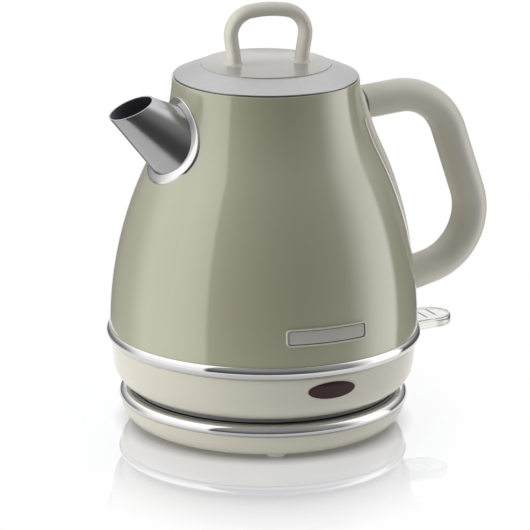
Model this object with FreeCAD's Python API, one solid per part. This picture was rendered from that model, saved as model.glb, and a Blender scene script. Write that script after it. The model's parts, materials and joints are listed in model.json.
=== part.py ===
import FreeCAD, Part

import math
import os

from FreeCAD import Vector

# Electric kettle on a round power base, in millimetres, +Z up.
# The spout points along -X, the handle along +X and the indicator along -Y.
# Everything is built about the swivel axis and moved to the box centre at the end.

# Fits
FIT = 0.05
RUN_GAP = 0.08
MOVE_GAP = 0.3

# Power base
BASE_TURN = 70.0
FOOT_STAND = 1.6
FOOT_RADIUS = 5.0
FOOT_INSET = 5.5
FOOT_RECESS = 1.0
FOOT_COUNT = 3
BOWL_INSET = 5.7
BOWL_INWARD = 7.3
BOWL_HEIGHT = 11.4
BOWL_WALL = 2.2
BOWL_RIB_INSET = 3.5
BOWL_RIB_WALL = 2.0
BASE_RING_BULGE = 1.0
BASE_RING_HEIGHT = 5.6
BASE_RING_WIDTH = 6.0
BASE_RING_LAND = 2.4
BASE_RING_ROUND = 0.7
BASE_RING_BULGE_RISE = 2.5
BASE_RING_CREST = 2.0
BASE_RING_CREST_WIDTH = 1.5
DECK_STEP = 0.4
DECK_THICK = 2.0
CORD_HOLE_RADIUS = 3.5
CORD_HOLE_INSET = 4.0
CORD_GLAND_WALL = 0.9

# Round connector
TOWER_RADIUS = 16.6
TOWER_FLANGE = 4.4
TOWER_FLANGE_THICK = 2.0
TOWER_GAP = 1.5
TOWER_CHAMFER = 1.2
CONTACT_WALL = 1.0
PIN_RADIUS = 4.0
PIN_SPIGOT = 2.5
RING_CONTACT_RADIUS = 10.6
RING_CONTACT_WALL = 1.2
CONTACT_STAND = 2.0
CARRIER_RADIUS = 15.0
CARRIER_THICK = 4.0
CARRIER_DROP = 1.0

# Kettle underside
REST_RIB_HEIGHT = 3.2
REST_RIB_INSET = 5.5
REST_RIB_WALL = 2.5
COVER_INSET = 1.1
COVER_THICK = 1.9
WELL_GAP = 1.8
WELL_WALL = 1.8
WELL_HEIGHT = 14.1
BOSS_INSET = 2.5
BOSS_RADIUS = 3.6
BOSS_HEIGHT = 15.0
BOSS_RIB = 2.0
BOSS_COUNT = 3

# Skirt and waist ring
SKIRT_INSET = 1.1
SKIRT_HEIGHT = 23.1
SKIRT_FLANK_BEND = 85.0
SKIRT_CORNER_BEND = 13.0
SKIRT_CORNER_SWEEP = 69.5
SKIRT_WALL = 2.4
SKIRT_FOOT_WIDTH = 4.1
WAIST_RING_HEIGHT = 6.7
WAIST_RING_BULGE = 1.5
WAIST_RING_LIP = 0.4
WAIST_FLANGE_THICK = 1.0
WAIST_FLANGE_WIDTH = 4.9

# Body wall, an ogee of two tangent arcs
BELLY_RADIUS = 78.5
NECK_RADIUS = 47.25
BELLY_BEND = 196.0
BELLY_RISE = 7.1
BODY_HEIGHT = 135.1
NECK_RISE = 3.0
BODY_WALL = 0.9
MOUTH_RADIUS = 42.5

# Heater and control
PLATE_RISE = 8.1
PLATE_THICK = 1.0
PLATE_CORNER = 2.0
SEAL_WIDTH = 2.6
SEAL_HEIGHT = 5.0
SPREADER_MARGIN = 10.0
SPREADER_THICK = 3.0
ELEMENT_GAP = 11.0
ELEMENT_TUBE = 3.3
ELEMENT_FLAT = 0.7
ELEMENT_SWEEP = 300.0
TERMINAL_RADIUS = 1.6
TERMINAL_LENGTH = 7.0
CONTROL_RADIUS = 30.0
CONTROL_GAP = 4.5
CONTROL_POST_CIRCLE = 25.0
CONTROL_POST_RADIUS = 2.5
CONTROL_POST_COUNT = 3
DISC_RADIUS = 9.0
DISC_THICK = 0.6
DISC_CROWN = 0.8
DISC_FLAT = 3.0
DISC_SPREAD = 12.0
STEAM_TUBE_RADIUS = 4.5
STEAM_TUBE_WALL = 1.2
STEAM_TUBE_CIRCLE = 43.0
STEAM_TUBE_ANGLE = 20.0
STEAM_TUBE_DROP = 20.0
STEAM_BOX_RADIUS = 6.5
STEAM_BOX_HEIGHT = 8.0

# Indicator
LENS_HALF_WIDTH = 13.0
LENS_HALF_HEIGHT = 4.4
LENS_HEIGHT = 16.0
LENS_PROUD = 0.5
LENS_BACK = 1.2
LAMP_RADIUS = 2.5
LAMP_LENGTH = 15.0
LAMP_GAP = 0.8
HOLDER_WIDTH = 11.0
HOLDER_DEPTH = 7.0
HOLDER_TOP = 2.0

# Switch lever
LEVER_OUT = 29.0
LEVER_HALF_WIDTH = 11.0
LEVER_THICK = 5.0
LEVER_DROP = 0.9
LEVER_TILT = 1.5
LEVER_TRAVEL = 10.0
LEVER_ROUND = 1.0
LEVER_NECK = 7.0
GROOVE_COUNT = 3
GROOVE_PITCH = 6.1
GROOVE_WIDTH = 1.0
GROOVE_DEPTH = 0.6
GROOVE_HALF_LENGTH = 7.0
GROOVE_INSET = 9.9
PIVOT_INSET = 5.0
PIVOT_RADIUS = 1.5
PIVOT_DROP = 6.0
HUB_RADIUS = 3.6
HUB_HALF_WIDTH = 7.5
TRIP_ARM = 12.0
TRIP_HALF_WIDTH = 3.0
TRIP_THICK = 2.5
CHEEK_THICK = 2.4
CHEEK_HALF_DEPTH = 3.8
BRACKET_FLOOR = 2.0

# Spout, a cone with a slanting lip
SPOUT_REACH = 75.9
SPOUT_DROP = 9.8
SPOUT_TIP_RADIUS = 10.35
SPOUT_RISE = 37.0
SPOUT_TAPER = 13.4
SPOUT_LIP_TILT = 22.9
SPOUT_WALL = 0.7
FLANGE_WIDTH = 4.2
FLANGE_THICK = 1.4
FLANGE_ROUND = 0.4
FILTER_DEPTH = 25.0
FILTER_LEAN = 19.0
FILTER_THICK = 1.2
FILTER_HOLE = 1.3
FILTER_PITCH = 4.0
FILTER_RING_COUNT = 3
FILTER_HOLE_COUNT = 6

# Handle, back plate and water window
HANDLE_THICK = 16.8
HANDLE_WIDTH = 22.0
HANDLE_BEND = 30.0
HANDLE_DROP = 19.6
HANDLE_TOP_RISE = 3.8
HANDLE_SHOULDER_OUT = 19.0
HANDLE_HEEL_OUT = 49.7
HANDLE_HEEL_HEIGHT = 32.2
HANDLE_FOOT_HEIGHT = 20.7
BACKPLATE_THICK = 4.5
BACKPLATE_HALF_WIDTH = 12.0
BACKPLATE_ABOVE = 11.4
BACKPLATE_BELOW = 9.0
BACKPLATE_ROUND = 1.2
WINDOW_HALF_WIDTH = 4.5
WINDOW_INSET = 14.0
WINDOW_LEDGE = 1.6
GASKET_THICK = 1.0
HANDLE_SCREW_RADIUS = 2.0
HANDLE_SCREW_HEAD = 3.5
HANDLE_SCREW_HEAD_THICK = 2.0
HANDLE_SCREW_BITE = 14.0

# Lid
LID_TURN = -12.0
LID_RADIUS = 46.5
LID_RIM_HEIGHT = 0.6
LID_CONE_RISE = 5.4
LID_CONE_CROWN = 0.1
LID_DISC_RADIUS = 33.0
LID_DISC_STEP = 0.5
LID_DISC_SEAT = 1.0
LID_DISC_ROUND = 0.3
LID_WALL = 1.0
PLUG_RADIUS = 41.5
PLUG_DEPTH = 12.8
PLUG_WALL = 2.0
PLUG_FLANGE = 1.5
PLUG_FLANGE_THICK = 0.7
SEAL_GROOVE = 1.0
LID_SEAL_HEIGHT = 2.0
LID_SEAL_DROP = 0.4
LID_PLATE_THICK = 1.0
LID_PLATE_INSET = 1.5
POST_RADIUS = 5.0
POST_ROOF = 4.0
LOOP_FOOT = 16.2
LOOP_SHOULDER = 20.8
LOOP_HEIGHT = 31.6
LOOP_CROWN = 3.2
LOOP_BEND = 12.0
LOOP_TOP_BEND = 50.0
LOOP_THICK = 7.0
LOOP_WIDTH = 10.0
LOOP_SHIFT = 1.0
LOOP_FILLET = 2.0
LID_SCREW_BITE = 8.0

# Small screws
SCREW_RADIUS = 1.5
SCREW_HEAD = 2.8
SCREW_HEAD_THICK = 1.5
BASE_SCREW_CIRCLE = 45.0
BASE_BOSS_RADIUS = 4.0

# Heights, stacked from the table up
bowl_floor = FOOT_STAND
bowl_inside = bowl_floor + BOWL_WALL
bowl_rim = bowl_floor + BOWL_HEIGHT
deck_low = bowl_rim + DECK_STEP
deck_top = deck_low + DECK_THICK
kettle_rest = deck_top + MOVE_GAP
cover_low = kettle_rest + REST_RIB_HEIGHT
skirt_foot = cover_low + COVER_THICK
skirt_top = skirt_foot + SKIRT_HEIGHT
body_foot = skirt_top + WAIST_FLANGE_THICK
belly_z = body_foot + BELLY_RISE
body_top = body_foot + BODY_HEIGHT
neck_z = body_top + NECK_RISE
plate_top = body_foot + PLATE_RISE
plate_low = plate_top - PLATE_THICK
spreader_low = plate_low - SPREADER_THICK
control_low = cover_low + WELL_HEIGHT
control_top = spreader_low - CONTROL_GAP
carrier_low = control_low - CARRIER_DROP
carrier_top = carrier_low + CARRIER_THICK
tower_top = carrier_low - TOWER_GAP
contact_floor = deck_top + CONTACT_STAND
contact_top = tower_top - TOWER_CHAMFER
lens_z = skirt_foot + LENS_HEIGHT
lever_top = skirt_top - LEVER_DROP
lever_low = lever_top - LEVER_THICK
pivot_z = lever_top - PIVOT_DROP
spout_tip_z = body_top - SPOUT_DROP
handle_top_z = body_top - HANDLE_DROP
handle_foot_z = body_foot + HANDLE_FOOT_HEIGHT
handle_heel_z = body_foot + HANDLE_HEEL_HEIGHT
backplate_high = handle_top_z + BACKPLATE_ABOVE
backplate_low = handle_foot_z - BACKPLATE_BELOW
lid_low = body_top + MOVE_GAP
lid_shoulder = lid_low + LID_RIM_HEIGHT
lid_step = lid_shoulder + LID_CONE_RISE
lid_top = lid_step + LID_DISC_STEP
lid_seat = lid_step - LID_DISC_SEAT
lid_under = lid_seat - LID_WALL
plug_low = lid_low - PLUG_DEPTH
post_seat = lid_under - POST_ROOF
handle_screw_heights = (handle_top_z, handle_foot_z)

# Radii worked out from the driving sizes
well_radius = TOWER_RADIUS + WELL_GAP
body_inside = BELLY_RADIUS - BODY_WALL
plate_radius = body_inside - SEAL_WIDTH
element_circle = STEAM_TUBE_CIRCLE + ELEMENT_GAP
spreader_radius = element_circle + SPREADER_MARGIN
skirt_top_radius = BELLY_RADIUS - SKIRT_INSET
bowl_rim_radius = BELLY_RADIUS - BOWL_INSET
bowl_floor_radius = bowl_rim_radius - BOWL_INWARD
bowl_rib_radius = bowl_floor_radius - BOWL_RIB_INSET
foot_circle = bowl_floor_radius - FOOT_INSET
handle_shoulder = BELLY_RADIUS + HANDLE_SHOULDER_OUT
handle_heel = BELLY_RADIUS + HANDLE_HEEL_OUT
socket_bore = PIN_RADIUS + RUN_GAP + CONTACT_WALL
ring_inner = RING_CONTACT_RADIUS - RING_CONTACT_WALL
groove_outer = RING_CONTACT_RADIUS + RUN_GAP + CONTACT_WALL
groove_inner = ring_inner - CONTACT_WALL
cord_start = bowl_rib_radius - CORD_HOLE_INSET
seal_reach = MOUTH_RADIUS - RUN_GAP

# The arc of the base's side
bowl_bend = (BOWL_INWARD ** 2 + BOWL_HEIGHT ** 2) / (2 * BOWL_INWARD)
bowl_centre = bowl_rim_radius - bowl_bend

# The two arcs of the body wall
neck_bend = (
    ((BELLY_RADIUS - NECK_RADIUS) ** 2 + (neck_z - belly_z) ** 2)
    / (2 * (BELLY_RADIUS - NECK_RADIUS))
    - BELLY_BEND
)
belly_centre = BELLY_RADIUS - BELLY_BEND
neck_centre = NECK_RADIUS + neck_bend
wall_lean = (neck_z - belly_z) / (BELLY_BEND + neck_bend)

# The two arcs of the skirt
flank_centre = skirt_top_radius - SKIRT_FLANK_BEND
corner_z = skirt_foot + SKIRT_CORNER_BEND * math.sin(math.radians(SKIRT_CORNER_SWEEP))
flank_lean = (skirt_top - corner_z) / (SKIRT_FLANK_BEND - SKIRT_CORNER_BEND)
flank_cos = math.sqrt(1 - flank_lean ** 2)
corner_centre = flank_centre + (SKIRT_FLANK_BEND - SKIRT_CORNER_BEND) * flank_cos

# What the skirt's foot carries
foot_radius = corner_centre + SKIRT_CORNER_BEND * math.cos(math.radians(SKIRT_CORNER_SWEEP))
skirt_bore = foot_radius - SKIRT_FOOT_WIDTH
cover_radius = foot_radius - COVER_INSET
boss_circle = skirt_bore - BOSS_INSET
rest_rib_radius = skirt_bore - REST_RIB_INSET
pivot_circle = skirt_bore - PIVOT_INSET
lever_root = pivot_circle + LEVER_NECK
lever_reach = BELLY_RADIUS + LEVER_OUT

Z_AXIS = Vector(0, 0, 1)
X_AXIS = Vector(1, 0, 0)
Y_AXIS = Vector(0, 1, 0)
ORIGIN = Vector(0, 0, 0)
FAR = 200.0


def point(pair):
    """Place a (radius, height) pair in the XZ plane."""
    return Vector(pair[0], 0, pair[1])


def line(start, end):
    return Part.makeLine(point(start), point(end))


def arc(start, middle, end):
    return Part.Arc(point(start), point(middle), point(end)).toShape()


def polygon(*corners):
    """Edges of a closed outline of straight sides."""
    return [line(a, b) for a, b in zip(corners, corners[1:] + corners[:1])]


def flat_face(edges):
    return Part.Face(Part.Wire(Part.__sortEdges__(edges)))


def revolve(edges):
    """Solid of revolution about Z, with its seam on the +Y side."""
    face = flat_face(edges).rotated(ORIGIN, Z_AXIS, 90)
    solid = face.revolve(ORIGIN, Z_AXIS, 360)
    if solid.Volume < 0:
        solid.reverse()
    return solid


def tube(outer, inner, low, high):
    return revolve(polygon((inner, low), (outer, low), (outer, high), (inner, high)))


def upright(radius, low, high, x=0.0, y=0.0):
    return Part.makeCylinder(radius, high - low, Vector(x, y, low))


def box(x_low, x_high, y_half, z_low, z_high):
    """Block that is centred on the XZ plane."""
    return Part.makeBox(x_high - x_low, 2 * y_half, z_high - z_low, Vector(x_low, -y_half, z_low))


def around(shape, count, start=0.0):
    """Copies of a shape, evenly spaced about the Z axis."""
    return [shape.rotated(ORIGIN, Z_AXIS, start + 360.0 * i / count) for i in range(count)]


def on_base(shape):
    """Turn a piece of the base to where the base stands under the kettle."""
    return shape.rotated(ORIGIN, Z_AXIS, BASE_TURN)


def on_lid(shape):
    """Turn a piece of the lid to where the lid sits in the mouth."""
    return shape.rotated(ORIGIN, Z_AXIS, LID_TURN)


def cut_all(shape, tools):
    for tool in tools:
        shape = shape.cut(tool)
    return shape


def wall_turn(offset):
    """Height where the belly arc meets the neck arc, on the wall moved out by an offset."""
    return belly_z + (BELLY_BEND + offset) * wall_lean


def wall_radius(z, offset=0.0):
    """Radius of the body wall, moved out by an offset, at a height."""
    if z <= belly_z:
        return BELLY_RADIUS + offset
    if z <= wall_turn(offset):
        return belly_centre + math.sqrt((BELLY_BEND + offset) ** 2 - (z - belly_z) ** 2)
    return neck_centre - math.sqrt((neck_bend - offset) ** 2 - (neck_z - z) ** 2)


def skirt_radius(z, offset=0.0):
    """Radius of the skirt, moved out by an offset, at a height."""
    bend = SKIRT_CORNER_BEND + offset
    if z >= corner_z - bend * flank_lean:
        return flank_centre + math.sqrt((SKIRT_FLANK_BEND + offset) ** 2 - (skirt_top - z) ** 2)
    return corner_centre + math.sqrt(bend ** 2 - (corner_z - z) ** 2)


def curve(radius, breaks, low, high, offset):
    """Edges of an offset wall from one height to another, one edge between two breaks."""
    heights = [low] + [z for z in breaks if low < z < high] + [high]
    edges = []
    for a, b in zip(heights, heights[1:]):
        start, end = (radius(a, offset), a), (radius(b, offset), b)
        middle_z = (a + b) / 2
        middle = (radius(middle_z, offset), middle_z)
        straight = abs(start[0] + end[0] - 2 * middle[0]) < FIT * FIT
        edges.append(line(start, end) if straight else arc(start, middle, end))
    return edges


def wall_curve(low, high, offset):
    return curve(wall_radius, (belly_z, wall_turn(offset)), low, high, offset)


def skirt_curve(low, high, offset):
    change = corner_z - (SKIRT_CORNER_BEND + offset) * flank_lean
    return curve(skirt_radius, (change,), low, high, offset)


def wall_fill(offset):
    """Everything inside the body wall moved out by an offset."""
    edges = wall_curve(body_foot, body_top, offset)
    low = (wall_radius(body_foot, offset), body_foot)
    high = (wall_radius(body_top, offset), body_top)
    edges += [line(high, (0, body_top)), line((0, body_top), (0, body_foot)), line((0, body_foot), low)]
    return revolve(edges)


def skirt_fill(offset, low_z):
    """Everything inside the skirt moved out by an offset, from a height up."""
    edges = skirt_curve(low_z, skirt_top, offset)
    low = (skirt_radius(low_z, offset), low_z)
    high = (skirt_radius(skirt_top, offset), skirt_top)
    edges += [line(high, (0, skirt_top)), line((0, skirt_top), (0, low_z)), line((0, low_z), low)]
    return revolve(edges)


def stadium(half_width, low, high):
    """Upright bar with round ends, running along +X from the axis."""
    low_c, high_c = low + half_width, high - half_width
    bar = Part.makeBox(FAR, 2 * half_width, high_c - low_c, Vector(0, -half_width, low_c))
    for z in (low_c, high_c):
        bar = bar.fuse(Part.makeCylinder(half_width, FAR, Vector(0, 0, z), X_AXIS))
    return bar.removeSplitter()


def outer_edges(shape, offset, spread):
    """Edges on the wall moved out by an offset whose middles are spread wider than most."""
    middles = [(e, e.valueAt((e.FirstParameter + e.LastParameter) / 2)) for e in shape.Edges]
    mean = sum(spread(p) for _, p in middles) / len(middles)
    return [e for e, p in middles
            if abs(math.hypot(p.x, p.y) - wall_radius(p.z, offset)) < FIT / 2 and spread(p) > mean]


def wall_strip(inner, outer, half_width, low, high):
    """Strip with round ends that follows the body wall between two offsets, on the handle side."""
    return wall_fill(outer).cut(wall_fill(inner)).common(stadium(half_width, low, high))


def rounded_path(corners, bends):
    """Wire through corners in the XZ plane, with a tangent arc of its own bend at each inner corner."""
    points = [point(c) for c in corners]
    edges = []
    start = points[0]
    for before, corner, after, bend in zip(points, points[1:], points[2:], bends):
        back = (before - corner).normalize()
        ahead = (after - corner).normalize()
        half = back.getAngle(ahead) / 2
        reach = bend / math.tan(half)
        inward = (back + ahead).normalize()
        enter = corner + back * reach
        leave = corner + ahead * reach
        middle = corner + inward * (bend / math.sin(half) - bend)
        edges.append(Part.makeLine(start, enter))
        edges.append(Part.Arc(enter, middle, leave).toShape())
        start = leave
    edges.append(Part.makeLine(start, points[-1]))
    return Part.Wire(edges)


def swept_bar(path, thick, width):
    """Bar of oval section along a flat path: thick in the path's plane, width along Y."""
    first = path.Edges[0]
    start = first.valueAt(first.FirstParameter)
    ahead = first.tangentAt(first.FirstParameter)
    across = Y_AXIS.cross(ahead)
    if width > thick:
        oval = Part.Ellipse(start + Y_AXIS * (width / 2), start + across * (thick / 2), start)
    else:
        oval = Part.Ellipse(start + across * (thick / 2), start + Y_AXIS * (width / 2), start)
    section = Part.Wire(oval.toShape())
    return path.makePipeShell([section], True, False)


def screw(head, head_thick, shank, length):
    """Screw that stands on its head at the origin, with its shank up along Z."""
    return Part.makeCylinder(head, head_thick).fuse(upright(shank, 0, head_thick + length)).removeSplitter()


# Power base


def bowl_side(z, offset=0.0):
    """Radius of the base's side, moved out by an offset, at a height."""
    return bowl_centre + math.sqrt((bowl_bend + offset) ** 2 - (bowl_rim - z) ** 2)


def cord_way(radius):
    """Round bar out along the cord outlet."""
    middle = (bowl_inside + bowl_rim) / 2
    return Part.makeCylinder(radius, FAR, Vector(cord_start, 0, middle), X_AXIS)


def base_bowl():
    """Moulded lower half of the base, with the feet recesses, deck rib and cord outlet."""
    rib_inner = bowl_rib_radius - BOWL_RIB_WALL
    edges = curve(bowl_side, (), bowl_floor, bowl_rim, 0)
    edges += curve(bowl_side, (), bowl_inside, bowl_rim, -BOWL_WALL)
    edges.append(line((bowl_rim_radius, bowl_rim), (bowl_rim_radius - BOWL_WALL, bowl_rim)))
    corners = [
        (bowl_side(bowl_inside, -BOWL_WALL), bowl_inside),
        (bowl_rib_radius, bowl_inside),
        (bowl_rib_radius, deck_low),
        (rib_inner, deck_low),
        (rib_inner, bowl_inside),
        (0, bowl_inside),
        (0, bowl_floor),
        (bowl_floor_radius, bowl_floor),
    ]
    edges += [line(a, b) for a, b in zip(corners, corners[1:])]
    bowl = revolve(edges)
    recess = upright(FOOT_RADIUS + FIT, bowl_floor, bowl_floor + FOOT_RECESS, foot_circle)
    sink = upright(SCREW_HEAD + MOVE_GAP, bowl_floor, bowl_floor + BOWL_WALL / 2, BASE_SCREW_CIRCLE)
    hole = upright(SCREW_RADIUS + FIT, bowl_floor, bowl_inside, BASE_SCREW_CIRCLE)
    bowl = cut_all(bowl, around(recess, FOOT_COUNT, 180.0 / FOOT_COUNT))
    bowl = cut_all(bowl, around(sink.fuse(hole), FOOT_COUNT))
    return on_base(bowl.cut(cord_way(CORD_HOLE_RADIUS)))


def cord_gland():
    """Bush that lines the cord outlet, flush with the base's side."""
    outer = CORD_HOLE_RADIUS - FIT
    edges = curve(bowl_side, (), bowl_floor, bowl_rim, 0)
    edges += [
        line((bowl_rim_radius, bowl_rim), (0, bowl_rim)),
        line((0, bowl_rim), (0, bowl_floor)),
        line((0, bowl_floor), (bowl_floor_radius, bowl_floor)),
    ]
    bush = cord_way(outer).cut(cord_way(outer - CORD_GLAND_WALL))
    return on_base(bush.common(revolve(edges)))


def base_trim_ring():
    """Bright rounded ring that closes the top of the bowl."""
    rim = bowl_rim_radius
    land = bowl_rim + DECK_STEP + BASE_RING_LAND / 2
    top = bowl_rim + BASE_RING_HEIGHT
    shoulder = top - BASE_RING_ROUND
    bulge_z = bowl_rim + BASE_RING_BULGE_RISE
    crest = rim - BASE_RING_CREST
    slope = crest - BASE_RING_CREST_WIDTH
    edges = [
        arc((rim, bowl_rim), (rim + BASE_RING_BULGE, bulge_z), (rim - FIT, shoulder)),
        arc((rim - FIT, shoulder), (crest, top), (slope, shoulder)),
    ]
    inner = rim - BASE_RING_WIDTH
    corners = [
        (slope, shoulder),
        (inner, land + BASE_RING_LAND / 2),
        (inner, land),
        (rim - BASE_RING_LAND, land),
        (rim - BASE_RING_LAND, bowl_rim),
        (rim, bowl_rim),
    ]
    edges += [line(a, b) for a, b in zip(corners, corners[1:])]
    return revolve(edges)


def base_deck():
    """Round plate that the kettle stands on, with screw bosses under it."""
    rim = bowl_rim_radius - BASE_RING_WIDTH - MOVE_GAP
    deck = tube(rim, TOWER_RADIUS + FIT, deck_low, deck_top)
    boss = upright(BASE_BOSS_RADIUS, bowl_inside, deck_low, BASE_SCREW_CIRCLE)
    pilot = upright(SCREW_RADIUS + FIT, bowl_inside, deck_low, BASE_SCREW_CIRCLE)
    for post in around(boss.cut(pilot), FOOT_COUNT):
        deck = deck.fuse(post)
    return on_base(deck.removeSplitter())


def base_connector():
    """Round tower of the connector, with a centre socket and a ring groove."""
    flange = TOWER_RADIUS + TOWER_FLANGE
    flange_low = deck_low - TOWER_FLANGE_THICK
    tower = revolve(polygon(
        (0, bowl_inside),
        (TOWER_RADIUS, bowl_inside),
        (TOWER_RADIUS, flange_low),
        (flange, flange_low),
        (flange, deck_low),
        (TOWER_RADIUS, deck_low),
        (TOWER_RADIUS, tower_top - TOWER_CHAMFER),
        (TOWER_RADIUS - TOWER_CHAMFER, tower_top),
        (0, tower_top),
    ))
    socket = upright(socket_bore + FIT, contact_floor, tower_top)
    groove = tube(groove_outer + FIT, groove_inner, contact_floor, tower_top)
    return tower.cut(socket).cut(groove)


def base_contacts():
    """Sprung brass sleeves in the socket and in the groove."""
    centre = tube(socket_bore, PIN_RADIUS + RUN_GAP, contact_floor, contact_top)
    outer = tube(groove_outer, RING_CONTACT_RADIUS + RUN_GAP, contact_floor, contact_top)
    return Part.makeCompound([centre, outer])


def base_feet():
    foot = upright(FOOT_RADIUS, 0, bowl_floor + FOOT_RECESS, foot_circle)
    return on_base(Part.makeCompound(around(foot, FOOT_COUNT, 180.0 / FOOT_COUNT)))


def base_screws():
    length = deck_low - bowl_floor - BOWL_WALL / 2
    fastener = screw(SCREW_HEAD, SCREW_HEAD_THICK / 2, SCREW_RADIUS, length - SCREW_HEAD_THICK)
    seat = bowl_floor + BOWL_WALL / 2 - SCREW_HEAD_THICK / 2
    fastener = fastener.translated(Vector(BASE_SCREW_CIRCLE, 0, seat))
    return on_base(Part.makeCompound(around(fastener, FOOT_COUNT)))


# Round plug under the kettle


def connector_carrier():
    """Moulded disc that holds the plug's contacts in the control."""
    return tube(CARRIER_RADIUS, PIN_SPIGOT + FIT, carrier_low, carrier_top)


def connector_pin():
    low = contact_floor + CONTACT_STAND / 2
    return revolve(polygon(
        (0, low),
        (PIN_RADIUS - TOWER_CHAMFER, low),
        (PIN_RADIUS, low + TOWER_CHAMFER),
        (PIN_RADIUS, carrier_low),
        (PIN_SPIGOT, carrier_low),
        (PIN_SPIGOT, carrier_top),
        (0, carrier_top),
    ))


def connector_ring():
    return tube(RING_CONTACT_RADIUS, ring_inner, contact_floor + CONTACT_STAND / 2, carrier_low)


# Underside of the kettle


def bottom_cover():
    """Underside plate, with the ring it stands on and the well for the connector."""
    rib_inner = rest_rib_radius - REST_RIB_WALL
    cover = revolve(polygon(
        (well_radius, cover_low),
        (rib_inner, cover_low),
        (rib_inner, kettle_rest),
        (rest_rib_radius, kettle_rest),
        (rest_rib_radius, cover_low),
        (cover_radius, cover_low),
        (cover_radius, skirt_foot),
        (well_radius + WELL_WALL, skirt_foot),
        (well_radius + WELL_WALL, control_low),
        (well_radius, control_low),
    ))
    hole = upright(SCREW_RADIUS + FIT, cover_low, skirt_foot, boss_circle)
    return cut_all(cover, around(hole, BOSS_COUNT, 180.0 / BOSS_COUNT))


def bottom_screws():
    fastener = screw(SCREW_HEAD, SCREW_HEAD_THICK, SCREW_RADIUS, BOSS_HEIGHT - COVER_THICK)
    fastener = fastener.translated(Vector(boss_circle, 0, cover_low - SCREW_HEAD_THICK))
    return Part.makeCompound(around(fastener, BOSS_COUNT, 180.0 / BOSS_COUNT))


def oval_bar(grow):
    """Oval bar along -Y through the indicator's window."""
    oval = Part.Ellipse(ORIGIN, LENS_HALF_WIDTH + grow, LENS_HALF_HEIGHT + grow).toShape()
    bar = Part.Face(Part.Wire(oval)).extrude(Vector(0, 0, FAR))
    return bar.rotated(ORIGIN, X_AXIS, 90).translated(Vector(0, 0, lens_z))


def lower_skirt():
    """Moulded bowl under the waist ring, with the lens window, lever notch and screw bosses."""
    floor = skirt_foot + SKIRT_WALL
    edges = skirt_curve(skirt_foot, skirt_top, 0) + skirt_curve(floor, skirt_top, -SKIRT_WALL)
    edges += [
        line((skirt_top_radius, skirt_top), (skirt_radius(skirt_top, -SKIRT_WALL), skirt_top)),
        line((skirt_radius(floor, -SKIRT_WALL), floor), (skirt_bore, floor)),
        line((skirt_bore, floor), (skirt_bore, skirt_foot)),
        line((skirt_bore, skirt_foot), (skirt_radius(skirt_foot), skirt_foot)),
    ]
    skirt = revolve(edges)
    boss_top = skirt_foot + BOSS_HEIGHT
    boss = upright(BOSS_RADIUS, skirt_foot, boss_top, boss_circle)
    web = box(boss_circle, FAR, BOSS_RIB / 2, floor, boss_top).common(skirt_fill(-SKIRT_WALL / 2, floor))
    pilot = upright(SCREW_RADIUS + FIT, skirt_foot, boss_top, boss_circle)
    for post in around(boss.fuse(web).cut(pilot), BOSS_COUNT, 180.0 / BOSS_COUNT):
        skirt = skirt.fuse(post)
    skirt = cut_all(skirt, around(pilot, BOSS_COUNT, 180.0 / BOSS_COUNT))
    drop = (skirt_top_radius - pivot_circle) * math.sin(math.radians(LEVER_TRAVEL))
    notch_low = lever_low - drop - 2 * MOVE_GAP
    notch = box(pivot_circle, FAR, LEVER_HALF_WIDTH + 2 * MOVE_GAP, notch_low, skirt_top)
    return skirt.cut(oval_bar(FIT)).cut(notch).removeSplitter()


def skirt_trim_ring():
    """Bright waist ring: its flange lies on the skirt and carries the body and the plate."""
    top = skirt_top + WAIST_RING_HEIGHT
    bore = BELLY_RADIUS + FIT
    flange = BELLY_RADIUS - WAIST_FLANGE_WIDTH
    bulge = BELLY_RADIUS + WAIST_RING_BULGE
    bulge_z = (skirt_top + top) / 2
    edges = [arc((skirt_top_radius, skirt_top), (bulge, bulge_z), (bore + WAIST_RING_LIP, top))]
    corners = [
        (bore + WAIST_RING_LIP, top),
        (bore, top),
        (bore, body_foot),
        (flange, body_foot),
        (flange, skirt_top),
        (skirt_top_radius, skirt_top),
    ]
    edges += [line(a, b) for a, b in zip(corners, corners[1:])]
    return revolve(edges)


# Heater and control


def steam_column(radius, low, high):
    angle = math.radians(STEAM_TUBE_ANGLE)
    x = STEAM_TUBE_CIRCLE * math.cos(angle)
    y = STEAM_TUBE_CIRCLE * math.sin(angle)
    return upright(radius, low, high, x, y)


def heating_plate():
    """Steel floor of the kettle, with a rim turned down to the waist ring."""
    inner = plate_radius - PLATE_THICK
    bend = PLATE_CORNER * (1 - math.sqrt(0.5))
    edges = [
        arc((plate_radius, plate_top - PLATE_CORNER), (plate_radius - bend, plate_top - bend),
            (plate_radius - PLATE_CORNER, plate_top)),
    ]
    corners = [
        (plate_radius - PLATE_CORNER, plate_top),
        (0, plate_top),
        (0, plate_low),
        (inner, plate_low),
        (inner, body_foot),
        (plate_radius, body_foot),
        (plate_radius, plate_top - PLATE_CORNER),
    ]
    edges += [line(a, b) for a, b in zip(corners, corners[1:])]
    return revolve(edges).cut(steam_column(STEAM_TUBE_RADIUS + FIT, plate_low, plate_top))


def plate_seal():
    outer = body_inside - FIT
    inner = plate_radius + FIT
    return tube(outer, inner, body_foot, body_foot + SEAL_HEIGHT)


def heat_spreader():
    disc = upright(spreader_radius, spreader_low, plate_low)
    return disc.cut(steam_column(STEAM_TUBE_RADIUS + FIT, spreader_low, plate_low))


def element_axis():
    """Height of the heating tube's centre: its top is pressed flat under the spreader."""
    return spreader_low - ELEMENT_TUBE + ELEMENT_FLAT


def heating_element():
    """Sheathed heating tube, bent to an open ring."""
    tube_z = element_axis()
    ring = Part.makeTorus(element_circle, ELEMENT_TUBE, Vector(0, 0, tube_z), Z_AXIS, 0, 360, ELEMENT_SWEEP)
    ring = ring.rotated(ORIGIN, Z_AXIS, 90 + (360 - ELEMENT_SWEEP) / 2)
    return ring.common(upright(spreader_radius, tube_z - ELEMENT_TUBE, spreader_low))


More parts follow.
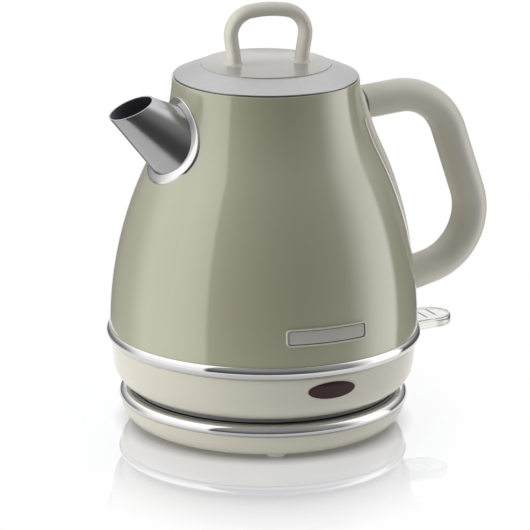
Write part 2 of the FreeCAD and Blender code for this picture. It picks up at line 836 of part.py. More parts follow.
def element_terminals():
    """Cold pins that come straight out of the heating tube's two ends."""
    half_gap = (360 - ELEMENT_SWEEP) / 2
    start = Vector(element_circle, 0, element_axis())
    ahead = Part.makeCylinder(TERMINAL_RADIUS, TERMINAL_LENGTH, start, Y_AXIS)
    back = Part.makeCylinder(TERMINAL_RADIUS, TERMINAL_LENGTH, start, -Y_AXIS)
    first = ahead.rotated(ORIGIN, Z_AXIS, 90 - half_gap)
    second = back.rotated(ORIGIN, Z_AXIS, 90 + half_gap)
    return Part.makeCompound([first, second])


def control_unit():
    """Moulded control, with posts up to the spreader and a box that takes the steam tube."""
    body = upright(CONTROL_RADIUS, control_low, control_top)
    body = body.cut(upright(CARRIER_RADIUS + RUN_GAP, control_low, carrier_top + MOVE_GAP))
    post = upright(CONTROL_POST_RADIUS, control_top, spreader_low, CONTROL_POST_CIRCLE)
    for leg in around(post, CONTROL_POST_COUNT, 180.0 / CONTROL_POST_COUNT):
        body = body.fuse(leg)
    box_low = spreader_low - STEAM_BOX_HEIGHT
    lobe = steam_column(STEAM_BOX_RADIUS, box_low, spreader_low)
    arm = box(CARRIER_RADIUS + 2 * WELL_WALL, STEAM_TUBE_CIRCLE, STEAM_TUBE_RADIUS, box_low, control_top)
    body = body.fuse(arm.rotated(ORIGIN, Z_AXIS, STEAM_TUBE_ANGLE)).fuse(lobe)
    seat = steam_column(STEAM_TUBE_RADIUS + FIT, control_top, spreader_low)
    return body.cut(seat).removeSplitter()


def bimetal_discs():
    """Two snap discs that lie on the control under the heater."""
    disc = revolve(polygon(
        (0, 0),
        (DISC_RADIUS, 0),
        (DISC_RADIUS, DISC_THICK),
        (DISC_FLAT, DISC_THICK + DISC_CROWN),
        (0, DISC_THICK + DISC_CROWN),
    ))
    discs = [disc.translated(Vector(0, y, control_top)) for y in (-DISC_SPREAD, DISC_SPREAD)]
    return Part.makeCompound(discs)


def steam_tube():
    low = control_top
    high = body_top - STEAM_TUBE_DROP
    outer = steam_column(STEAM_TUBE_RADIUS, low, high)
    return outer.cut(steam_column(STEAM_TUBE_RADIUS - STEAM_TUBE_WALL, low, high))


# Indicator


def indicator_lens():
    """Dark red oval lens that follows the skirt."""
    low = lens_z - 2 * LENS_HALF_HEIGHT
    skin = skirt_fill(LENS_PROUD, low).cut(skirt_fill(-SKIRT_WALL - LENS_BACK, low))
    return skin.common(oval_bar(0))


def lamp_bar(radius):
    front = skirt_radius(lens_z, -SKIRT_WALL - LENS_BACK) - LAMP_GAP
    return Part.makeCylinder(radius, LAMP_LENGTH, Vector(0, -front, lens_z), Y_AXIS)


def indicator_lamp():
    return lamp_bar(LAMP_RADIUS)


def lamp_holder():
    """Post on the cover that holds the lamp behind the lens."""
    front = skirt_bore - MOVE_GAP
    low = skirt_foot
    size = (HOLDER_WIDTH, HOLDER_DEPTH, lens_z + LAMP_RADIUS + HOLDER_TOP - low)
    post = Part.makeBox(*size, Vector(-HOLDER_WIDTH / 2, -front + WELL_WALL, low))
    return post.cut(lamp_bar(LAMP_RADIUS + FIT))


# Switch lever


def lever_tilted(shape):
    return shape.rotated(Vector(pivot_circle, 0, pivot_z), Y_AXIS, -LEVER_TILT)


def pivot_bar(radius, half_length):
    return Part.makeCylinder(radius, 2 * half_length, Vector(pivot_circle, -half_length, pivot_z), Y_AXIS)


def switch_lever():
    """Clear lever: a grooved tongue with a round end, on a hub, with a trip arm inside."""
    end_x = lever_reach - LEVER_HALF_WIDTH
    tongue = box(lever_root, end_x, LEVER_HALF_WIDTH, lever_low, lever_top)
    tongue = tongue.fuse(upright(LEVER_HALF_WIDTH, lever_low, lever_top, end_x)).removeSplitter()
    rims = [e for e in tongue.Edges if e.BoundBox.ZLength < FIT and e.BoundBox.XMax > end_x - FIT]
    tongue = tongue.makeFillet(LEVER_ROUND, rims)
    for i in range(GROOVE_COUNT):
        x = lever_reach - GROOVE_INSET - i * GROOVE_PITCH
        half = GROOVE_WIDTH / 2
        floor = lever_top - GROOVE_DEPTH
        tongue = tongue.cut(box(x - half, x + half, GROOVE_HALF_LENGTH, floor, lever_top))
    neck = box(pivot_circle, lever_root, HUB_HALF_WIDTH, lever_low, lever_top - LEVER_ROUND)
    arm_low = pivot_z - TRIP_THICK / 2
    arm = box(pivot_circle - TRIP_ARM, pivot_circle, TRIP_HALF_WIDTH, arm_low, arm_low + TRIP_THICK)
    lever = tongue.fuse([neck, arm, pivot_bar(HUB_RADIUS, HUB_HALF_WIDTH)])
    lever = lever.cut(pivot_bar(PIVOT_RADIUS + RUN_GAP, HUB_HALF_WIDTH))
    return lever_tilted(lever.removeSplitter())


def cheek_half():
    """Half the outside width of the bracket's two cheeks."""
    return HUB_HALF_WIDTH + MOVE_GAP + CHEEK_THICK


def lever_bracket():
    """Fork on the cover that carries the lever's pin."""
    low_x = pivot_circle - CHEEK_HALF_DEPTH
    high_x = pivot_circle + CHEEK_HALF_DEPTH
    block = box(low_x, high_x, cheek_half(), skirt_foot, pivot_z + CHEEK_HALF_DEPTH)
    gap = box(low_x, high_x, HUB_HALF_WIDTH + MOVE_GAP, skirt_foot + BRACKET_FLOOR, FAR)
    return block.cut(gap).cut(pivot_bar(PIVOT_RADIUS + FIT, cheek_half()))


def lever_pin():
    return pivot_bar(PIVOT_RADIUS, cheek_half())


# Body and spout


def spout_axis():
    rise = math.radians(SPOUT_RISE)
    return Vector(-math.cos(rise), 0, math.sin(rise))


def spout_point(depth):
    """Point on the spout's axis, at a depth behind the middle of the lip."""
    return Vector(-SPOUT_REACH, 0, spout_tip_z) - spout_axis() * depth


def spout_cone(grow, front, back):
    """Stretch of the spout's cone between two depths, with its radius grown."""
    slope = math.tan(math.radians(SPOUT_TAPER))
    r_back = SPOUT_TIP_RADIUS + grow + back * slope
    r_front = SPOUT_TIP_RADIUS + grow + front * slope
    return Part.makeCone(r_back, r_front, back - front, spout_point(back), spout_axis())


def whole_cone(grow):
    return spout_cone(grow, -SPOUT_TIP_RADIUS, SPOUT_REACH)


def body_shell():
    """Painted steel wall, open at its foot, with a lip turned in at the mouth."""
    lip_low = body_top - BODY_WALL
    edges = wall_curve(body_foot, body_top, 0) + wall_curve(body_foot, lip_low, -BODY_WALL)
    edges += [
        line((wall_radius(body_top), body_top), (MOUTH_RADIUS, body_top)),
        line((MOUTH_RADIUS, body_top), (MOUTH_RADIUS, lip_low)),
        line((MOUTH_RADIUS, lip_low), (wall_radius(lip_low, -BODY_WALL), lip_low)),
        line((body_inside, body_foot), (BELLY_RADIUS, body_foot)),
    ]
    shell = revolve(edges)
    holes = [screw_bar(z, HANDLE_SCREW_RADIUS + FIT) for z in handle_screw_heights]
    return cut_all(shell, holes + [window_slot(), whole_cone(FIT)])


def spout_tube():
    """Tapered steel spout, let into the wall and cut slanting at its lip."""
    tube_wall = whole_cone(0).cut(whole_cone(-SPOUT_WALL))
    size = SPOUT_REACH
    beyond = Part.makeBox(size, size, size, Vector(-size / 2, -size / 2, 0))
    beyond = beyond.rotated(ORIGIN, Y_AXIS, -SPOUT_LIP_TILT).translated(spout_point(0))
    return tube_wall.cut(beyond).cut(wall_fill(-BODY_WALL))


def spout_flange():
    """Polished collar that lies on the wall round the spout."""
    skin = wall_fill(FLANGE_THICK).cut(wall_fill(FIT))
    collar = skin.common(whole_cone(FLANGE_WIDTH)).cut(whole_cone(FIT))
    edges = outer_edges(collar, FLANGE_THICK, lambda p: p.distanceToLine(spout_point(0), spout_axis()))
    return collar.makeFillet(FLANGE_ROUND, edges)


def spout_filter():
    """Strainer at the spout's root, nearly level with the wall, with rings of round holes."""
    lean = math.radians(FILTER_LEAN)
    facing = Vector(-math.cos(lean), 0, math.sin(lean))
    across = facing.cross(Y_AXIS)
    middle = spout_point(FILTER_DEPTH)
    slab = Part.makeCylinder(SPOUT_REACH, FILTER_THICK, middle, facing)
    holes = [ORIGIN]
    for ring in range(1, FILTER_RING_COUNT + 1):
        count = FILTER_HOLE_COUNT * ring
        for i in range(count):
            angle = math.radians(360.0 * i / count)
            holes.append((Y_AXIS * math.cos(angle) + across * math.sin(angle)) * (ring * FILTER_PITCH))
    tools = [Part.makeCylinder(FILTER_HOLE, FILTER_THICK, middle + hole, facing) for hole in holes]
    return cut_all(slab.common(whole_cone(-SPOUT_WALL - FIT)), tools)


# Handle


def screw_bar(z, radius, start=0.0, end=FAR):
    """Round bar along +X at a height, for the handle's screws and their holes."""
    return Part.makeCylinder(radius, end - start, Vector(start, 0, z), X_AXIS)


def window_low():
    return handle_foot_z + HANDLE_THICK / 2 + WINDOW_INSET / 2


def window_high():
    return handle_top_z - HANDLE_THICK / 2 - WINDOW_INSET / 2


def window_tongue():
    return WINDOW_HALF_WIDTH - WINDOW_LEDGE


def window_slot():
    """Opening in the body for the window's tongue."""
    return stadium(window_tongue() + FIT, window_low() + WINDOW_LEDGE, window_high() - WINDOW_LEDGE)


def handle_path():
    """Centre line of the handle, from inside the body at the top to inside it at the foot."""
    top_slope = HANDLE_TOP_RISE / (handle_shoulder - NECK_RADIUS)
    foot_slope = (handle_heel_z - handle_foot_z) / (handle_heel - BELLY_RADIUS)
    root = NECK_RADIUS - HANDLE_THICK
    foot = BELLY_RADIUS - HANDLE_THICK
    corners = [
        (root, handle_top_z - top_slope * HANDLE_THICK),
        (handle_shoulder, handle_top_z + HANDLE_TOP_RISE),
        (handle_heel, handle_heel_z),
        (foot, handle_foot_z - foot_slope * HANDLE_THICK),
    ]
    return rounded_path(corners, (HANDLE_BEND, HANDLE_BEND))


def handle_grip():
    """Looped grip of oval section, cut to the back plate at both ends."""
    grip = swept_bar(handle_path(), HANDLE_THICK, HANDLE_WIDTH).cut(wall_fill(BACKPLATE_THICK + FIT))
    bores = [screw_bar(z, HANDLE_SCREW_RADIUS + FIT, 0, screw_end(z) + FIT) for z in handle_screw_heights]
    return cut_all(grip, bores)


def screw_end(z):
    return wall_radius(z, BACKPLATE_THICK) + HANDLE_SCREW_BITE


def handle_backplate():
    """Strip down the back of the body that the grip stands on, round the water window."""
    plate = wall_strip(FIT, BACKPLATE_THICK, BACKPLATE_HALF_WIDTH, backplate_low, backplate_high)
    low_c = backplate_low + BACKPLATE_HALF_WIDTH
    high_c = backplate_high - BACKPLATE_HALF_WIDTH
    middle = lambda p: min(max(p.z, low_c), high_c)
    rims = outer_edges(plate, BACKPLATE_THICK, lambda p: math.hypot(p.y, p.z - middle(p)))
    plate = plate.makeFillet(BACKPLATE_ROUND, rims)
    pocket = stadium(WINDOW_HALF_WIDTH + FIT, window_low() - FIT, window_high() + FIT)
    holes = [screw_bar(z, HANDLE_SCREW_RADIUS + FIT) for z in handle_screw_heights]
    return cut_all(plate, holes + [pocket])


def water_window():
    """Clear window in the back plate, with a tongue through the body's slot."""
    seat = GASKET_THICK + 2 * FIT
    pane = wall_strip(seat, BACKPLATE_THICK, WINDOW_HALF_WIDTH, window_low(), window_high())
    low = window_low() + WINDOW_LEDGE + FIT
    high = window_high() - WINDOW_LEDGE - FIT
    tongue = wall_strip(-BODY_WALL, seat + FIT, window_tongue(), low, high)
    return pane.fuse(tongue).removeSplitter()


def window_gasket():
    """Thin frame between the window's ledge and the body."""
    frame = wall_strip(FIT, GASKET_THICK + FIT, WINDOW_HALF_WIDTH, window_low(), window_high())
    return frame.cut(window_slot())


def handle_screws():
    """Two screws from inside the body, through the back plate and into the grip."""
    screws = []
    for z in handle_screw_heights:
        narrow = min(wall_radius(z + side, -BODY_WALL) for side in (-HANDLE_SCREW_HEAD, HANDLE_SCREW_HEAD))
        seat = math.sqrt(narrow ** 2 - HANDLE_SCREW_HEAD ** 2) - FIT
        head = screw_bar(z, HANDLE_SCREW_HEAD, seat - HANDLE_SCREW_HEAD_THICK, seat)
        screws.append(head.fuse(screw_bar(z, HANDLE_SCREW_RADIUS, seat, screw_end(z))).removeSplitter())
    return Part.makeCompound(screws)


# Lid


def lid_profile(drop):
    """Open edges of the lid's skin, lowered by a wall: rim, cone and the seat of the disc."""
    rim = LID_RADIUS - drop
    disc = LID_DISC_RADIUS + drop
    shoulder = lid_shoulder - drop / 2
    step = lid_step - drop
    seat = lid_seat - drop
    middle = ((rim + disc) / 2, (shoulder + step) / 2 + LID_CONE_CROWN)
    return [
        line((rim, lid_low), (rim, shoulder)),
        arc((rim, shoulder), middle, (disc, step)),
        line((disc, step), (disc, seat)),
        line((disc, seat), (0, seat)),
    ]


def lid_cap():
    """Pressed steel lid skin, a shallow cone with a sunk seat for the disc."""
    edges = lid_profile(0) + lid_profile(LID_WALL)
    edges += [
        line((LID_RADIUS, lid_low), (LID_RADIUS - LID_WALL, lid_low)),
        line((0, lid_seat), (0, lid_under)),
    ]
    holes = loop_columns(SCREW_RADIUS + FIT, lid_under, lid_seat)
    return on_lid(cut_all(revolve(edges), holes))


def loop_columns(radius, low, high):
    """Two upright bars, one under each foot of the loop."""
    return [upright(radius, low, high, LOOP_SHIFT + x) for x in (-LOOP_FOOT, LOOP_FOOT)]


def seal_low():
    return body_top - LID_SEAL_HEIGHT + LID_SEAL_DROP / 2


def lid_plug():
    """Moulded cup under the lid, with the seal groove and two posts for the loop's screws."""
    flange_top = lid_low + PLUG_FLANGE_THICK
    inner = PLUG_RADIUS - PLUG_WALL
    groove = PLUG_RADIUS - SEAL_GROOVE
    groove_low = seal_low() - FIT
    groove_high = seal_low() + LID_SEAL_HEIGHT + FIT
    cup = revolve(polygon(
        (0, plug_low),
        (PLUG_RADIUS, plug_low),
        (PLUG_RADIUS, groove_low),
        (groove, groove_low),
        (groove, groove_high),
        (PLUG_RADIUS, groove_high),
        (PLUG_RADIUS, lid_low),
        (PLUG_RADIUS + PLUG_FLANGE, lid_low),
        (PLUG_RADIUS + PLUG_FLANGE, flange_top),
        (inner, flange_top),
        (inner, plug_low + PLUG_WALL),
        (0, plug_low + PLUG_WALL),
    ))
    for post in loop_columns(POST_RADIUS, plug_low, lid_under):
        cup = cup.fuse(post)
    sinks = loop_columns(SCREW_HEAD + FIT, plug_low, post_seat)
    cup = cut_all(cup.removeSplitter(), sinks + loop_columns(SCREW_RADIUS + FIT, plug_low, lid_under))
    return on_lid(cup)


def lid_seal():
    """Soft ring in the plug's groove that fills the mouth."""
    low = seal_low()
    groove = PLUG_RADIUS - SEAL_GROOVE + FIT
    return tube(seal_reach, groove, low, low + LID_SEAL_HEIGHT)


def lid_bottom_plate():
    return upright(PLUG_RADIUS - LID_PLATE_INSET, plug_low - LID_PLATE_THICK, plug_low)


def lid_loop():
    """Disc that lies in the cap's seat, moulded in one with a finger loop of oval section."""
    crown_z = lid_top + LOOP_HEIGHT - LOOP_THICK / 2
    shoulder_z = crown_z - LOOP_CROWN
    foot_z = lid_seat - LOOP_THICK
    corners = [
        (LOOP_SHIFT - LOOP_FOOT, foot_z),
        (LOOP_SHIFT - LOOP_SHOULDER, shoulder_z),
        (LOOP_SHIFT, crown_z),
        (LOOP_SHIFT + LOOP_SHOULDER, shoulder_z),
        (LOOP_SHIFT + LOOP_FOOT, foot_z),
    ]
    path = rounded_path(corners, (LOOP_BEND, LOOP_TOP_BEND, LOOP_BEND))
    loop = swept_bar(path, LOOP_THICK, LOOP_WIDTH).cut(box(-FAR, FAR, FAR, 0, lid_seat))
    disc = upright(LID_DISC_RADIUS - FIT, lid_seat, lid_top)
    disc = disc.makeFillet(LID_DISC_ROUND, [e for e in disc.Edges if e.BoundBox.ZMin > lid_top - FIT])
    moulding = disc.fuse(loop).removeSplitter()
    level = [e for e in moulding.Edges if e.BoundBox.ZLength < FIT and abs(e.BoundBox.ZMin - lid_top) < FIT]
    roots = [e for e in level if e.Length < LID_DISC_RADIUS]
    moulding = moulding.makeFillet(LOOP_FILLET, roots)
    return on_lid(cut_all(moulding, loop_columns(SCREW_RADIUS + FIT, lid_seat, lid_top + LID_SCREW_BITE)))


def lid_screws():
    length = lid_top + LID_SCREW_BITE - MOVE_GAP - post_seat
    fastener = screw(SCREW_HEAD, SCREW_HEAD_THICK, SCREW_RADIUS, length)
    low = post_seat - SCREW_HEAD_THICK
    pair = [fastener.translated(Vector(LOOP_SHIFT + x, 0, low)) for x in (-LOOP_FOOT, LOOP_FOOT)]
    return on_lid(Part.makeCompound(pair))


PIECES = [
    base_bowl, base_trim_ring, base_deck, base_connector, base_contacts, base_feet, base_screws, cord_gland,
    connector_carrier, connector_pin, connector_ring,
    bottom_cover, bottom_screws, lower_skirt, skirt_trim_ring,
    heating_plate, plate_seal, heat_spreader, heating_element, element_terminals,
    control_unit, bimetal_discs, steam_tube,
    indicator_lens, indicator_lamp, lamp_holder,
    switch_lever, lever_bracket, lever_pin,
    body_shell, spout_tube, spout_flange, spout_filter,
    handle_grip, handle_backplate, water_window, window_gasket, handle_screws,
    lid_cap, lid_plug, lid_seal, lid_bottom_plate, lid_loop, lid_screws,
]


def main():
    os.makedirs("parts", exist_ok=True)
    shapes = {piece.__name__: piece() for piece in PIECES}
    whole = Part.makeCompound(list(shapes.values())).optimalBoundingBox(False, False)
    centre = Vector((whole.XMin + whole.XMax) / 2, 0, 0)
    for name, shape in shapes.items():
        shape.translated(-centre).exportStep("parts/" + name + ".step")
    print("swivel axis at x", round(-centre.x, 3), "box", whole)


if __name__ == "__main__":
    main()
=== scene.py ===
"""Looks of the electric kettle: finished pieces and materials round its solids, and a plain studio."""

import json
import math

import bmesh
import bpy
from bpy.props import FloatProperty, FloatVectorProperty, PointerProperty
from mathutils import Matrix, Vector


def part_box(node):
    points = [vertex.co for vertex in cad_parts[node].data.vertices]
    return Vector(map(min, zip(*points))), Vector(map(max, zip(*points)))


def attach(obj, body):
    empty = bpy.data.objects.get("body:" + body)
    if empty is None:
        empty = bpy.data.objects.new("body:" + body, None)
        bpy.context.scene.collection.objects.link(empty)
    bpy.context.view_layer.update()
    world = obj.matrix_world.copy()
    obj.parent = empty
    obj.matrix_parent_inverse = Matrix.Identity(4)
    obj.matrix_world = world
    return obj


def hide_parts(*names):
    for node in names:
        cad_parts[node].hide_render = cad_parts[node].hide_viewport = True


bl_info = {
    "name": "Electric kettle",
    "version": (1, 0, 0),
    "blender": (4, 5, 0),
    "location": "View3D > Sidebar > Kettle",
    "description": "Dresses the kettle's solids with finished pieces, materials and a studio",
    "category": "Object",
}

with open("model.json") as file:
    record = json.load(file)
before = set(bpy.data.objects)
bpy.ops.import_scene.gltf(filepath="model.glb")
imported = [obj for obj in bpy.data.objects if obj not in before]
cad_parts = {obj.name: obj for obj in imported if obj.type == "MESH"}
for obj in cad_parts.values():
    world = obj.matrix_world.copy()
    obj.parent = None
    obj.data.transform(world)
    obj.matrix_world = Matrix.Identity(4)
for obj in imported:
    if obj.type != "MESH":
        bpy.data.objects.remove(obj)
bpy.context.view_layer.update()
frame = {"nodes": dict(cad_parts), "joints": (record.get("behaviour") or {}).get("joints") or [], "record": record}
JOINTS = {joint["name"]: joint for joint in frame["joints"]}
SLOT_OF = {part["node"]: part["material_slot"] for part in frame["record"]["subparts"]}

# The swivel axis, which every round piece of the base and kettle is centred on
AXIS_X = JOINTS["kettle_swivel"]["pos_m"][0]
AXIS = Vector((AXIS_X, 0, 0))
ALONG_X = Vector((1, 0, 0))
ALONG_Y = Vector((0, 1, 0))
UP = Vector((0, 0, 1))

# Clearance of the press fits, and the distance under which two points count as one
FIT = 0.05e-3
SAME = FIT / 5
# Angle past which an edge is shaded sharp, and the steps of a full turn
SHARP = math.radians(32)
ROUND_STEPS = 144
# Share of a wall's thickness past which a face counts as its inside
INSIDE = 0.7


def mm(length):
    """Millimetres as metres."""
    return length / 1000


def per_mm(length):
    """Texture scale that draws a feature of about this many millimetres."""
    return 1000 / length


def linear(code):
    """An sRGB hex colour as linear red, green and blue."""
    parts = [int(code[i:i + 2], 16) / 255 for i in (1, 3, 5)]
    return tuple(p / 12.92 if p <= 0.04045 else ((p + 0.055) / 1.055) ** 2.4 for p in parts)


def length_property(name, description, default, least=0):
    """A length in millimetres."""
    return FloatProperty(name=name, description=description, default=mm(default), min=mm(least),
                         unit="LENGTH", precision=4)


def angle_property(name, description, default):
    """An angle in degrees."""
    return FloatProperty(name=name, description=description, default=math.radians(default), subtype="ANGLE")


def colour_property(name, description, default):
    """A colour from its sRGB hex value."""
    return FloatVectorProperty(name=name, description=description, default=linear(default), size=3,
                               min=0, max=1, subtype="COLOR")


class KettleSizes(bpy.types.PropertyGroup):
    """Sizes that the solids' boxes don't give."""

    belly_bend: length_property("Belly bend", "Radius of the wall's lower arc", 196)
    belly_rise: length_property("Belly rise", "Height of the widest place over the body's foot", 7.1)
    neck_radius: length_property("Neck radius", "Radius that the wall's upper arc ends at", 47.25)
    neck_rise: length_property("Neck rise", "Height of that end over the body's mouth", 3.0)
    body_wall: length_property("Body wall", "Thickness of the body's steel", 0.9)
    mouth_radius: length_property("Mouth radius", "Radius of the opening under the lid", 42.5)
    skirt_bend: length_property("Skirt bend", "Radius of the skirt's upright arc", 85)
    skirt_corner: length_property("Skirt corner", "Radius of the skirt's lower arc", 13)
    skirt_sweep: angle_property("Skirt sweep", "Angle that the lower arc turns under", 69.5)
    skirt_wall: length_property("Skirt wall", "Thickness of the skirt", 2.4)
    skirt_foot: length_property("Skirt foot", "Width of the skirt's floor", 4.1)
    bowl_floor: length_property("Bowl floor", "Radius of the base's flat underside", 65.5)
    bowl_wall: length_property("Bowl wall", "Thickness of the base's bowl", 2.2)
    ring_width: length_property("Ring width", "Width of the base's bright ring", 6)
    spout_reach: length_property("Spout reach", "Distance of the lip's middle from the axis", 75.9)
    spout_drop: length_property("Spout drop", "Drop of the lip's middle under the body's mouth", 9.8)
    spout_radius: length_property("Spout radius", "Radius of the spout at the lip", 10.35)
    spout_wall: length_property("Spout wall", "Thickness of the spout", 0.7)
    spout_rise: angle_property("Spout rise", "Slope of the spout's axis", 37)
    spout_taper: angle_property("Spout taper", "Half angle of the spout's cone", 13.4)
    spout_lip_tilt: angle_property("Lip tilt", "Slope of the spout's lip", 22.9)
    collar_width: length_property("Collar width", "Width of the collar round the spout", 4.2)
    collar_thick: length_property("Collar thickness", "Height of the collar over the wall", 1.0)
    handle_thick: length_property("Handle thickness", "Thickness of the grip in its own plane", 16.8)
    handle_width: length_property("Handle width", "Width of the grip across its plane", 22)
    handle_bend: length_property("Handle bend", "Radius of the grip's two bends", 30)
    handle_drop: length_property("Handle drop", "Drop of the upper root under the body's mouth", 19.6)
    handle_top_rise: length_property("Handle top rise", "Rise of the upper run to its corner", 3.8)
    handle_shoulder: length_property("Handle shoulder", "Distance of the upper corner from the axis", 97.5)
    handle_heel: length_property("Handle heel", "Distance of the lower corner from the axis", 128.2)
    handle_heel_height: length_property("Heel height", "Height of that corner over the body's foot", 32.2)
    handle_foot: length_property("Handle foot", "Height of the lower root over the body's foot", 20.7)
    plate_thick: length_property("Back plate thickness", "Height of the back plate over the wall", 4.5)
    plate_round: length_property("Back plate rounding", "Radius of the back plate's outer edges", 3.6)
    window_gap: length_property("Window gap", "Gap round the water window", 0.15)
    lid_disc: length_property("Lid disc", "Radius of the lid's raised disc", 33)
    lid_rim: length_property("Lid rim", "Height of the lid's upright rim", 0.6)
    lid_step: length_property("Lid step", "Height of the disc over the cone", 0.5)
    lid_seat: length_property("Lid seat", "Depth of the disc's seat in the cone", 1)
    lid_crown: length_property("Lid crown", "Bulge of the cone between rim and disc", 0.1)
    lid_wall: length_property("Lid wall", "Thickness of the lid's skin", 1)
    loop_foot: length_property("Loop foot", "Distance of the loop's feet from the lid's middle", 16.2)
    loop_shoulder: length_property("Loop shoulder", "Distance of the loop's corners from the middle", 20.8)
    loop_crown: length_property("Loop crown", "Rise of the loop from its corners to its middle", 3.2)
    loop_height: length_property("Loop height", "Height of the loop's top corner over the disc", 31.6)
    loop_bend: length_property("Loop bend", "Radius of the loop's corners", 12)
    loop_top_bend: length_property("Loop top bend", "Radius of the bend at the loop's middle", 50)
    loop_thick: length_property("Loop thickness", "Thickness of the loop in its own plane", 7)
    loop_width: length_property("Loop width", "Width of the loop across its plane", 10)
    loop_shift: length_property("Loop shift", "Shift of the loop along its own plane", 1)
    loop_fillet: length_property("Loop fillet", "Radius of the flare at the loop's feet", 2)
    loop_turn: angle_property("Loop turn", "Turn of the lid about the swivel axis", -12)
    badge_width: length_property("Badge width", "Width of the blank badge", 43.4)
    badge_height: length_property("Badge height", "Height of the blank badge", 8.8)
    badge_shift: length_property("Badge shift", "Place of the badge's middle from the axis along X", -2.9, -9)
    badge_rise: length_property("Badge rise", "Height of the badge's middle over the body's foot", 20.8)


class KettleColours(bpy.types.PropertyGroup):
    """Colours of the finishes."""

    paint: colour_property("Paint", "Champagne pearl of the body", "#aaa890")
    cream: colour_property("Cream", "Glossy mouldings of base and skirt", "#cac6b8")
    satin: colour_property("Satin cream", "Handle, its strip and the lid's loop", "#d9d5c9")
    # On the lid's disc, one moulding with the satin loop, this darker grey is painted shade; on the badge it is
    # the panel's own colour
    grey: colour_property("Pale grey", "The lid's disc and the badge's panel", "#bab7b1")
    steel: colour_property("Steel", "Spout, lid and the body's inside", "#a6a6a7")
    # The bore's darker tone is painted shade inside the spout and on the strainer behind it
    bore: colour_property("Bore", "Unpolished steel of the spout's bore and strainer", "#7b7c84")
    chrome: colour_property("Chrome", "Plated rings and the spout's collar", "#d4d3d2")
    black: colour_property("Black", "Deck and connector of the base", "#1a1a1b")
    heatproof: colour_property("Heat-proof grey", "Mouldings under the kettle", "#767774")
    milky: colour_property("Milky white", "Mouldings that the water touches", "#dcdcd8")
    brass: colour_property("Brass", "Contacts", "#c9a65c")
    zinc: colour_property("Zinc", "Screws and pins", "#a9a9a4")
    aluminium: colour_property("Aluminium", "Heater", "#b9b9bb")
    rubber: colour_property("Rubber", "Bush of the cord outlet", "#232323")
    silicone: colour_property("Silicone", "Seals and the base's feet", "#cfcfcb")
    clear: colour_property("Clear", "Lever and water window", "#eceeea")
    lens: colour_property("Lens", "Indicator lens", "#371f21")
    lamp: colour_property("Lamp", "Neon lamp behind the lens", "#d98a5c")
    floor: colour_property("Floor", "Studio floor, as a glow and as the light it sends back", "#f7f7f7")
    sheet: colour_property("Sheet", "Studio floor, as the lamps light it", "#aaacb5")


class StudioSettings(bpy.types.PropertyGroup):
    """Camera, floor and room light."""

    azimuth: angle_property("Azimuth", "Turn of the camera from the indicator's side towards the spout", 26.5)
    elevation: angle_property("Elevation", "Slope of the camera's view", 15.94)
    roll: angle_property("Roll", "Roll of the camera", 0.51)
    distance: length_property("Distance", "Distance of the camera from its target", 2100)
    target: length_property("Target", "Height of the camera's target", 81.2)
    pixel: length_property("Pixel", "Size of one picture dot at the target", 0.5086)
    table: length_property("Table", "Radius of the round floor", 210)
    room: FloatProperty(name="Room", description="Strength of the even light from all round",
                        default=0.25, min=0)
    side_shift: FloatProperty(name="Side shift", description="Shift of the picture in dots", default=0.8)


# Dots along a side of the square picture, and the camera's sensor in millimetres
PICTURE_DOTS = 530
SENSOR = 36.0


# Materials


def add_node(tree, kind, inputs=None, **settings):
    """Add a node with its settings, and its inputs set to values or linked to sockets."""
    node = tree.nodes.new(kind)
    for name, value in settings.items():
        setattr(node, name, value)
    for name, value in (inputs or {}).items():
        if isinstance(value, bpy.types.NodeSocket):
            tree.links.new(value, node.inputs[name])
        else:
            node.inputs[name].default_value = value
    return node


def opaque(colour, factor=1.0):
    """A colour property, dimmed or lifted by a factor, as red, green, blue and alpha."""
    return tuple(min(1.0, c * factor) for c in colour) + (1.0,)


def new_finish(name):
    """An empty material, its node tree and its Object coordinates."""
    material = bpy.data.materials.new(name)
    material.use_nodes = True
    tree = material.node_tree
    tree.nodes.clear()
    place = add_node(tree, "ShaderNodeTexCoord").outputs["Object"]
    return material, tree, place


def surface(tree, inputs):
    """Close a node tree with its shader."""
    shader = add_node(tree, "ShaderNodeBsdfPrincipled", inputs)
    add_node(tree, "ShaderNodeOutputMaterial", {"Surface": shader.outputs["BSDF"]})


def mottled(tree, place, size, colour, spread):
    """Colour that drifts by a spread either way over patches of a size in millimetres."""
    patches = add_node(tree, "ShaderNodeTexNoise", {"Vector": place, "Scale": per_mm(size), "Detail": 3.0})
    ramp = add_node(tree, "ShaderNodeMix", {
        "Factor": patches.outputs["Fac"], "A": opaque(colour, 1 - spread), "B": opaque(colour, 1 + spread),
    }, data_type="RGBA")
    return ramp.outputs["Result"]


def varied(tree, place, size, low, high):
    """Value that wanders between two limits over patches of a size in millimetres."""
    patches = add_node(tree, "ShaderNodeTexNoise", {"Vector": place, "Scale": per_mm(size), "Detail": 2.0})
    spread = add_node(tree, "ShaderNodeMapRange", {
        "Value": patches.outputs["Fac"], "From Min": 0.3, "From Max": 0.7, "To Min": low, "To Max": high,
    })
    return spread.outputs["Result"]


def grain(tree, place, size, height, strength):
    """Bump of a fine grain of a size and height in millimetres."""
    # Real moulding grit is under 0.1 mm; the finishes draw it at 0.4 to 0.8 mm, so that it shows
    grit = add_node(tree, "ShaderNodeTexNoise", {"Vector": place, "Scale": per_mm(size), "Detail": 2.0})
    bump = add_node(tree, "ShaderNodeBump", {
        "Height": grit.outputs["Fac"], "Distance": mm(height), "Strength": strength,
    })
    return bump.outputs["Normal"]


def even_finish(name, colour, tint, rough, grit=None, sockets=None):
    """Material of one colour that drifts a little.

    The tint is a patch in mm and a spread, the roughness a patch in mm and two limits, and the grit a size
    and a height in mm and a strength.
    """
    material, tree, place = new_finish(name)
    patch, spread = tint
    inputs = {
        "Base Color": mottled(tree, place, patch, colour, spread),
        "Roughness": varied(tree, place, *rough),
    }
    if grit:
        inputs["Normal"] = grain(tree, place, *grit)
    surface(tree, inputs | (sockets or {}))
    return material


